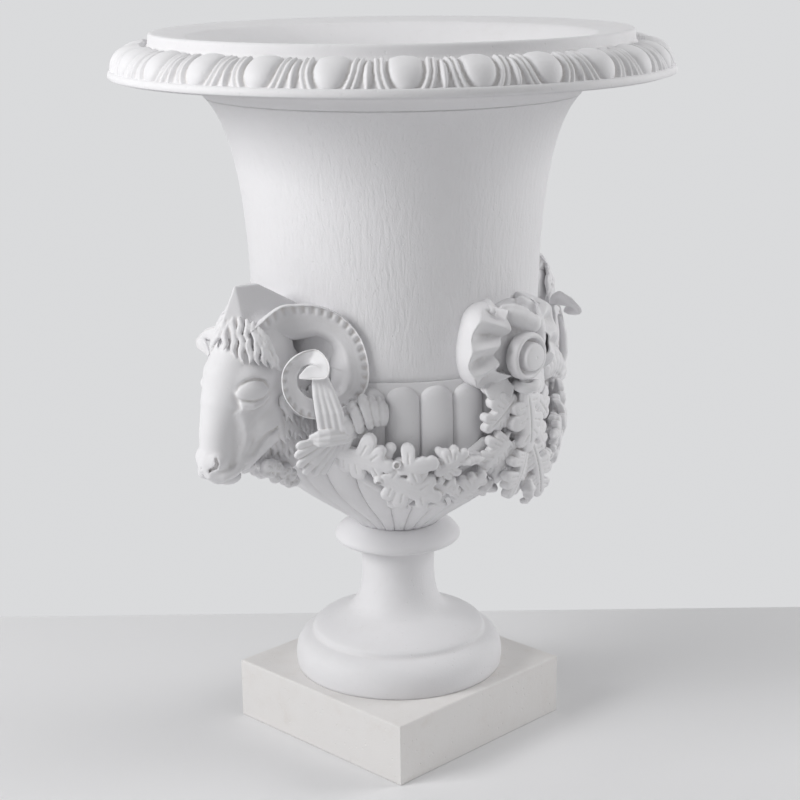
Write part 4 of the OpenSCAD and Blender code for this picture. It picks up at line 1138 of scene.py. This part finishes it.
def frillMesh(v):
    rows, lip = v["rows"], v["lip"]
    t = np.linspace(0, 1, rows)
    outer, ridge, inner = [smoothRoute(v[k], rows) for k in ("outer", "ridge", "inner")]

    def wallAt(place):
        return np.sqrt(np.maximum(wallRadius(place[:, 1]) ** 2 - place[:, 0] ** 2, 1))

    def line(out, place):
        return np.stack([out, place[:, 0], place[:, 1]], -1)

    wallOut = wallAt(outer)
    turn = t * 2 * math.pi
    ridgeOut = v["ridgeOut"] + 2.5 * np.cos(turn * v["pleats"]) - 14 * (1 - np.sin(math.pi * t)) ** 2
    innerOut = v["innerOut"] + 2.5 * np.sin(turn * 2)
    soft = np.cos(turn * v["pleats"] + 0.6)
    crisp = np.arcsin(0.97 * soft) / 1.3
    # From the wall up the outside, over the crest, across the pleats to the free edge and back to the wall
    loops = [line(wallOut - 3, outer), line(wallOut + 2, outer)]
    for q in np.linspace(0.12, 1, 8):
        loops.append(line((wallOut + 4) * (1 - q) + ridgeOut * q + 2.2 * math.sin(math.pi * q),
                          outer * (1 - q) + ridge * q))
    for q in np.linspace(0.06, 1, 22):
        bend = v["depth"] * (crisp * (1 - q ** 3) + 0.5 * soft * q ** 3) * min(1, q * 2.2) \
            - 2.5 * math.sin(math.pi * q)
        loops.append(line(ridgeOut * (1 - q) + innerOut * q + bend, ridge * (1 - q) + inner * q))
    edge = innerOut + 0.5 * v["depth"] * soft
    fromBoss = unitRows(inner - [0, v["bossHeight"]])
    loops.append(line(edge - 0.35 * lip, inner - 0.30 * lip * fromBoss))
    loops.append(line(edge - lip, inner + 0.2 * lip * fromBoss))
    for q in np.linspace(0.08, 0.4, 6):
        loops.append(line((edge - lip - 1) * (1 - q) + (ridgeOut - 5) * q, inner * (1 - q) + ridge * q))
    last = inner * 0.6 + ridge * 0.4
    loops.append(line(wallAt(last) - 3, last))
    points = np.stack(loops, 1)
    ends = np.array([points[0].mean(0), points[-1].mean(0)])
    return closedPiece(np.vstack([points.reshape(-1, 3), ends]), gridFaces(rows, len(loops), False, True),
                       endCaps(rows, len(loops)))


knotValues = {
    "cell": 1.4, "low": (186, -70, 516), "high": (256, 70, 672),
    "middle": {
        "roll": ["add", 2, [[219, -26, 642, 8.5], [226, -14, 641, 12.5], [234, 2, 634, 13.5], [239, 14, 628, 12.5]]],
        "rollTop": ["add", 4, [[222, -24, 652, 4], [228, -8, 651, 5], [235, 6, 645, 4]]],
        "neck": ["add", 5, [[200, 0, 600, 24], [222, 0, 612, 18], [232, 4, 622, 10]]],
        "ground": ["add", 3, [[207, 0, 596, 22, 55, 48]]],
        "sideGround": ["add", 4, [[222, 42, 606, 15, 13, 30]]],
        "sideFold": ["add", 4, [[216, 20, 653, 7], [224, 33, 642, 9], [226, 40, 628, 8]]],
        "back": ["add", 4, [[198, -8, 642, 11], [204, 10, 645, 12], [208, 28, 642, 11]]],
        "rollEnd": ["add", 5, [[221, 22, 641, 9], [225, 31, 626, 8]]]},
    "shoulders": {"strap": ["add", 3, [[201, 32, 654, 8], [214, 35, 648, 8]]]},
    "crease": {"underRoll": ["cut", 3, [[216, -30, 638, 3], [224, -25, 632, 2.5], [234, -12, 620, 2]]]},
    # Short petals under the boss: root, then the line of their tips, drawn by thin rods
    "petalRods": 14, "petalRoot": [224, 27, 563],
    "petalTips": [[234, 18, 546], [235, 24, 535], [233, 34, 530], [231, 44, 531], [226, 53, 538], [222, 56, 547]],
    "petalGround": {"ball": ["add", 3, [[214, 38, 549, 14, 16, 13]]]}}


def bowKnot(v):
    # Rolled end above the boss, neck under it and the two short petals below
    clay = Clay(v["low"], v["high"], v["cell"])
    clay.shape(v["middle"])
    for s in (1, -1):
        clay.shape(v["shoulders"], s)
    clay.shape(v["crease"])
    for s in (1, -1):
        root = np.array(v["petalRoot"]) * [1, s, 1]
        for tip in smoothRoute(np.array(v["petalTips"]) * [1, s, 1], v["petalRods"]):
            clay.add(stroke([[*root, 4], [*((root + tip) / 2 - [0, 0, 1]), 2.6], [*tip, 3.0]]), 1.6)
        clay.shape(v["petalGround"], s)
    cutByWall(clay, -0.5)
    return closedPiece(*clay.skin())


leftPoints, leftFaces = frillMesh(frillValues)
rightPoints, rightFaces = leftPoints * [1, -1, 1], leftFaces[:, ::-1]
bowPoints, bowFaces = joined([(leftPoints, leftFaces), (rightPoints, rightFaces), bowKnot(knotValues)])
frontAndBack("pleatedBow", bowPoints, bowFaces, "bow")
print("bows folded")

# Boss: a turned drum with a dished face and a round button, as curves of [radius, reach from the urn's axis]

bossValues = {
    "height": 587.0, "segments": 96, "back": [[0.05, 198], [15, 198], [15.5, 224]],
    "curves": {
        "drum": [12, [15.5, 224], [17, 231], [28, 230.5], [31.8, 235]],
        "side": [10, [31.8, 235], [32.6, 240], [32.4, 246], [31, 249.8]],
        "face": [8, [31, 249.8], [29.4, 252.4], [26.4, 252.6], [24.6, 250.6]],
        "dish": [8, [24.6, 250.6], [23.6, 246], [22, 242.4], [19.2, 242]],
        "rim": [12, [19.0, 242.2], [19.0, 253], [19.3, 258.4], [15.5, 259.4]],
        "button": [6, [15.5, 259.4], [11, 260.4], [6, 260.8], [0.05, 261]]}}


def bossMesh(v):
    profile = list(v["back"])
    for key, (steps, *curve) in v["curves"].items():
        # Each curve starts where the last one ended, except the rim of the button
        profile += list(bezierCurve(curve, steps)[0 if key == "rim" else 1:])
    points, faces = turnedPoints(np.array(profile), v["segments"])
    return closedPiece(np.stack([points[:, 2], points[:, 1], points[:, 0] + v["height"]], -1), faces)


frontAndBack("roundBoss", *bossMesh(bossValues), "boss")

# Binding ring under the boss: a soft, slightly uneven hoop

ringValues = {"out": 241.5, "height": 546.5, "radius": 12.5, "thickness": (6.2, 6.8), "uneven": (0.4, 0.8),
              "segments": (120, 36)}


def bindingRing(v):
    long, short = v["segments"]
    turn = np.linspace(0, 2 * math.pi, long, endpoint=False)[:, None]
    around = np.linspace(0, 2 * math.pi, short, endpoint=False)
    reach = v["radius"] + (v["thickness"][0] + v["uneven"][0] * np.sin(3 * turn)) * np.cos(around)
    z = v["height"] + v["thickness"][1] * np.sin(around) + v["uneven"][1] * np.sin(2 * turn)
    rows = np.stack([v["out"] + reach * np.cos(turn), reach * np.sin(turn), z], -1)
    return closedPiece(rows.reshape(-1, 3), gridFaces(long, short, True, True))


frontAndBack("bindingRing", *bindingRing(ringValues), "binding_ring")

# Leaf drop: stems through the ring, leaves above, two long ones below and an acorn

dropValues = {
    "cell": 1.25, "low": (196, -74, 376), "high": (266, 86, 560), "stems": (-6, 0, 6),
    "ground": {
        "middle": ["add", 3, [[222, 0, 520, 16], [222, 2, 484, 20], [222, 6, 440, 17], [226, 8, 408, 10]]],
        "left": ["add", 3, [[206, -20, 512, 10], [206, -34, 492, 10]]],
        "right": ["add", 3, [[206, 20, 512, 10], [204, 40, 492, 10]]]},
    # Leaves: stem, tip, shape, broad, arch, lean; then the rib's depth, thickness and reach into the ground of all
    "leaves": [
        [(234, -14, 470), (216, -46, 432), "broad", 0.9, 0.04, 0],
        [(232, 20, 466), (212, 62, 430), "broad", 0.9, 0.04, 0],
        [(234, -14, 534), (223, -58, 493), "broad", 0.95, 0.05, 0.1],
        [(234, 16, 533), (220, 66, 489), "broad", 0.95, 0.05, -0.1],
        [(241, 0, 538), (240, 6, 456), "broad", 0.8, 0.05, 0],
        [(238, 3, 460), (230, -26, 392), "long", 1.1, 0.07, 0.12],
        [(238, 16, 460), (231, 38, 380), "long", 1.1, 0.08, -0.1]],
    "leafForm": (1.7, 7.5, 5.0),
    "acorn": [(241, 8, 405), (240, 9, 387), 8.5],
    "foot": {"curl": ["add", 2, [[234, 4, 384, 4], [233, 13, 382, 4.5], [231, 22, 384, 4]]]}}


def leafDrop(v):
    clay = Clay(v["low"], v["high"], v["cell"])
    for y in v["stems"]:
        clay.add(stroke([[241, y, 556, 4], [242, y * 1.2, 530, 4.5], [238, y * 1.6, 512, 5]]), 1)
    clay.shape(v["ground"])
    for leaf in v["leaves"]:
        clay.add(oakLeaf(*leaf, *v["leafForm"]), 0.6)
    addAcorn(clay, *v["acorn"])
    clay.shape(v["foot"])
    cutByWall(clay, -0.5)
    return clay.skin()


frontAndBack("leafDrop", *leafDrop(dropValues), "leaf_drop")
print("bosses, rings and leaf drops made")

# Plinth: a block with soft arrises and the pocket of the tie underneath

plinthValues = {"side": 330.0, "height": 88.0, "arris": 2.2, "pocket": 44.0, "pocketDepth": 36.0, "boreRadius": 14.0,
                "points": 96}


def plinthMesh(v):
    # Loops from the pocket's ceiling out to the sides and back over the top, each with the same number of points
    count = v["points"]
    turn = np.radians(45 + np.linspace(0, 360, count, endpoint=False))
    c, s = np.cos(turn), np.sin(turn)

    def loop(half, z, square):
        # A circle where square is 0 and a true square with its corners where it is 1
        flat = half / np.maximum(np.abs(c), np.abs(s))
        r = square * flat + (1 - square) * half
        return np.stack([r * c, r * s, np.full(count, z)], -1)
    half, top, a = v["side"] / 2, v["height"], v["arris"]
    pocket, deep, bore = v["pocket"], v["pocketDepth"], v["boreRadius"]
    rows = [loop(bore, deep, 0), loop(pocket - 1, deep, 0), loop(pocket, deep - 1, 0), loop(pocket, 1, 0),
            loop(pocket + 1, 0, 0), loop(120, 0, 0.6), loop(half - a, 0, 1), loop(half - 0.3 * a, 0.3 * a, 1),
            loop(half, a, 1), loop(half, top / 2, 1), loop(half, top - a, 1), loop(half - 0.3 * a, top - 0.3 * a, 1),
            loop(half - a, top, 1), loop(130, top, 0.5), loop(bore, top, 0)]
    return np.vstack(rows), gridFaces(len(rows), count, True, True)


points, faces = plinthMesh(plinthValues)
newPiece("plinthBlock", points, faces, plinthStone, "plinth", smooth=False)
print("plinth cut")

# Camera at the photograph's place: distance and height in metres, turns in radians but for the azimuth's degrees

cameraValues = {"distance": 2.4099, "height": 1.1348, "azimuth": -45.04, "yaw": -0.0023, "pitch": 0.2644,
                "roll": -0.0113, "lens": 79.13, "sensor": 36, "clipEnd": 60}


def placeCamera(v):
    a = math.radians(v["azimuth"])
    b = a + v["yaw"]
    place = Vector((v["distance"] * math.sin(a), -v["distance"] * math.cos(a), v["height"]))
    level, down = math.cos(v["pitch"]), math.sin(v["pitch"])
    forward = Vector((-math.sin(b) * level, math.cos(b) * level, -down))
    right = Vector((math.cos(b), math.sin(b), 0))
    up = right.cross(forward)
    roll = v["roll"]
    side = right * math.cos(roll) + up * math.sin(roll)
    above = up * math.cos(roll) - right * math.sin(roll)
    data = bpy.data.cameras.new("photoCamera")
    data.sensor_width = v["sensor"]
    data.lens = v["lens"]
    data.clip_end = v["clipEnd"]
    camera = bpy.data.objects.new("photoCamera", data)
    bpy.context.scene.collection.objects.link(camera)
    turn = Matrix((side, above, -forward)).transposed()
    camera.matrix_world = Matrix.Translation(place) @ turn.to_4x4()
    bpy.context.scene.camera = camera


placeCamera(cameraValues)
print("camera placed")

# Pale floor and backdrop, and soft lamps

studioValues = {
    # The floor reaches from near to far and as far sideways, in metres; it ends behind the urn on a line that faces
    # the camera, as in the photograph
    "floor": (0.80, 0.80, 0.81, 1), "near": -4.0, "far": 0.396, "wide": 6.0, "paperRoughness": 0.9,
    "paperShine": 0.1, "backdrop": (0.70, 0.705, 0.715, 1), "world": 0.20,
    # Lamps: place, size and power; all look at a point on the urn's axis
    "lamps": {"key": ((-2.5, 0.9, 1.9), 1.3, 60.0), "fill": ((2.2, -1.6, 1.7), 1.6, 38.0),
              "front": ((-0.6, -3.2, 1.6), 2.4, 9.0), "top": ((0.2, 0.4, 3.4), 3.0, 17.0)},
    "lampAim": (0, 0, 0.5)}


def paperMaterial(name, v):
    material, tree, shader = newMaterial(name)
    shader.inputs["Base Color"].default_value = v["floor"]
    shader.inputs["Roughness"].default_value = v["paperRoughness"]
    shader.inputs["Specular IOR Level"].default_value = v["paperShine"]
    return material


def studioFloor(v):
    mesh = bpy.data.meshes.new("studioFloor")
    half = math.sqrt(0.5)
    near, far, wide = v["near"], v["far"], v["wide"]
    corners = [(along * half + across * half, along * half - across * half, 0)
               for along, across in ((near, -wide), (near, wide), (far, wide), (far, -wide))]
    mesh.from_pydata(corners, [], [(0, 3, 2, 1)])
    mesh.materials.append(paperMaterial("floorPaper", v))
    floorPiece = bpy.data.objects.new("studioFloor", mesh)
    bpy.context.scene.collection.objects.link(floorPiece)


def studioWorld(v):
    # White light of the world's own strength on the urn, the backdrop's colour wherever it is seen
    world = bpy.data.worlds.new("studio")
    bpy.context.scene.world = world
    world.use_nodes = True
    tree = world.node_tree
    light = tree.nodes["Background"]
    light.inputs["Color"].default_value = (1, 1, 1, 1)
    light.inputs["Strength"].default_value = v["world"]
    shown = addNode(tree, "ShaderNodeBackground", {"Color": v["backdrop"], "Strength": 1.0})
    ray = addNode(tree, "ShaderNodeLightPath").outputs
    seen = mathNode(tree, "MAXIMUM", ray["Is Camera Ray"], ray["Is Glossy Ray"])
    seen = mathNode(tree, "MAXIMUM", seen, ray["Is Transmission Ray"])
    mix = addNode(tree, "ShaderNodeMixShader", {0: seen, 1: light.outputs[0], 2: shown.outputs[0]})
    tree.links.new(mix.outputs[0], tree.nodes["World Output"].inputs["Surface"])


def studioLamps(v):
    for name, (place, size, power) in v["lamps"].items():
        lamp = bpy.data.lights.new(name + "Lamp", "AREA")
        lamp.shape = "SQUARE"
        lamp.size = size
        lamp.energy = power
        holder = bpy.data.objects.new(name + "Lamp", lamp)
        bpy.context.scene.collection.objects.link(holder)
        holder.location = place
        holder.rotation_euler = (Vector(v["lampAim"]) - Vector(place)).to_track_quat("-Z", "Y").to_euler()


studioFloor(studioValues)
studioWorld(studioValues)
studioLamps(studioValues)
bpy.context.scene.view_settings.view_transform = "Standard"
print("studio lit")
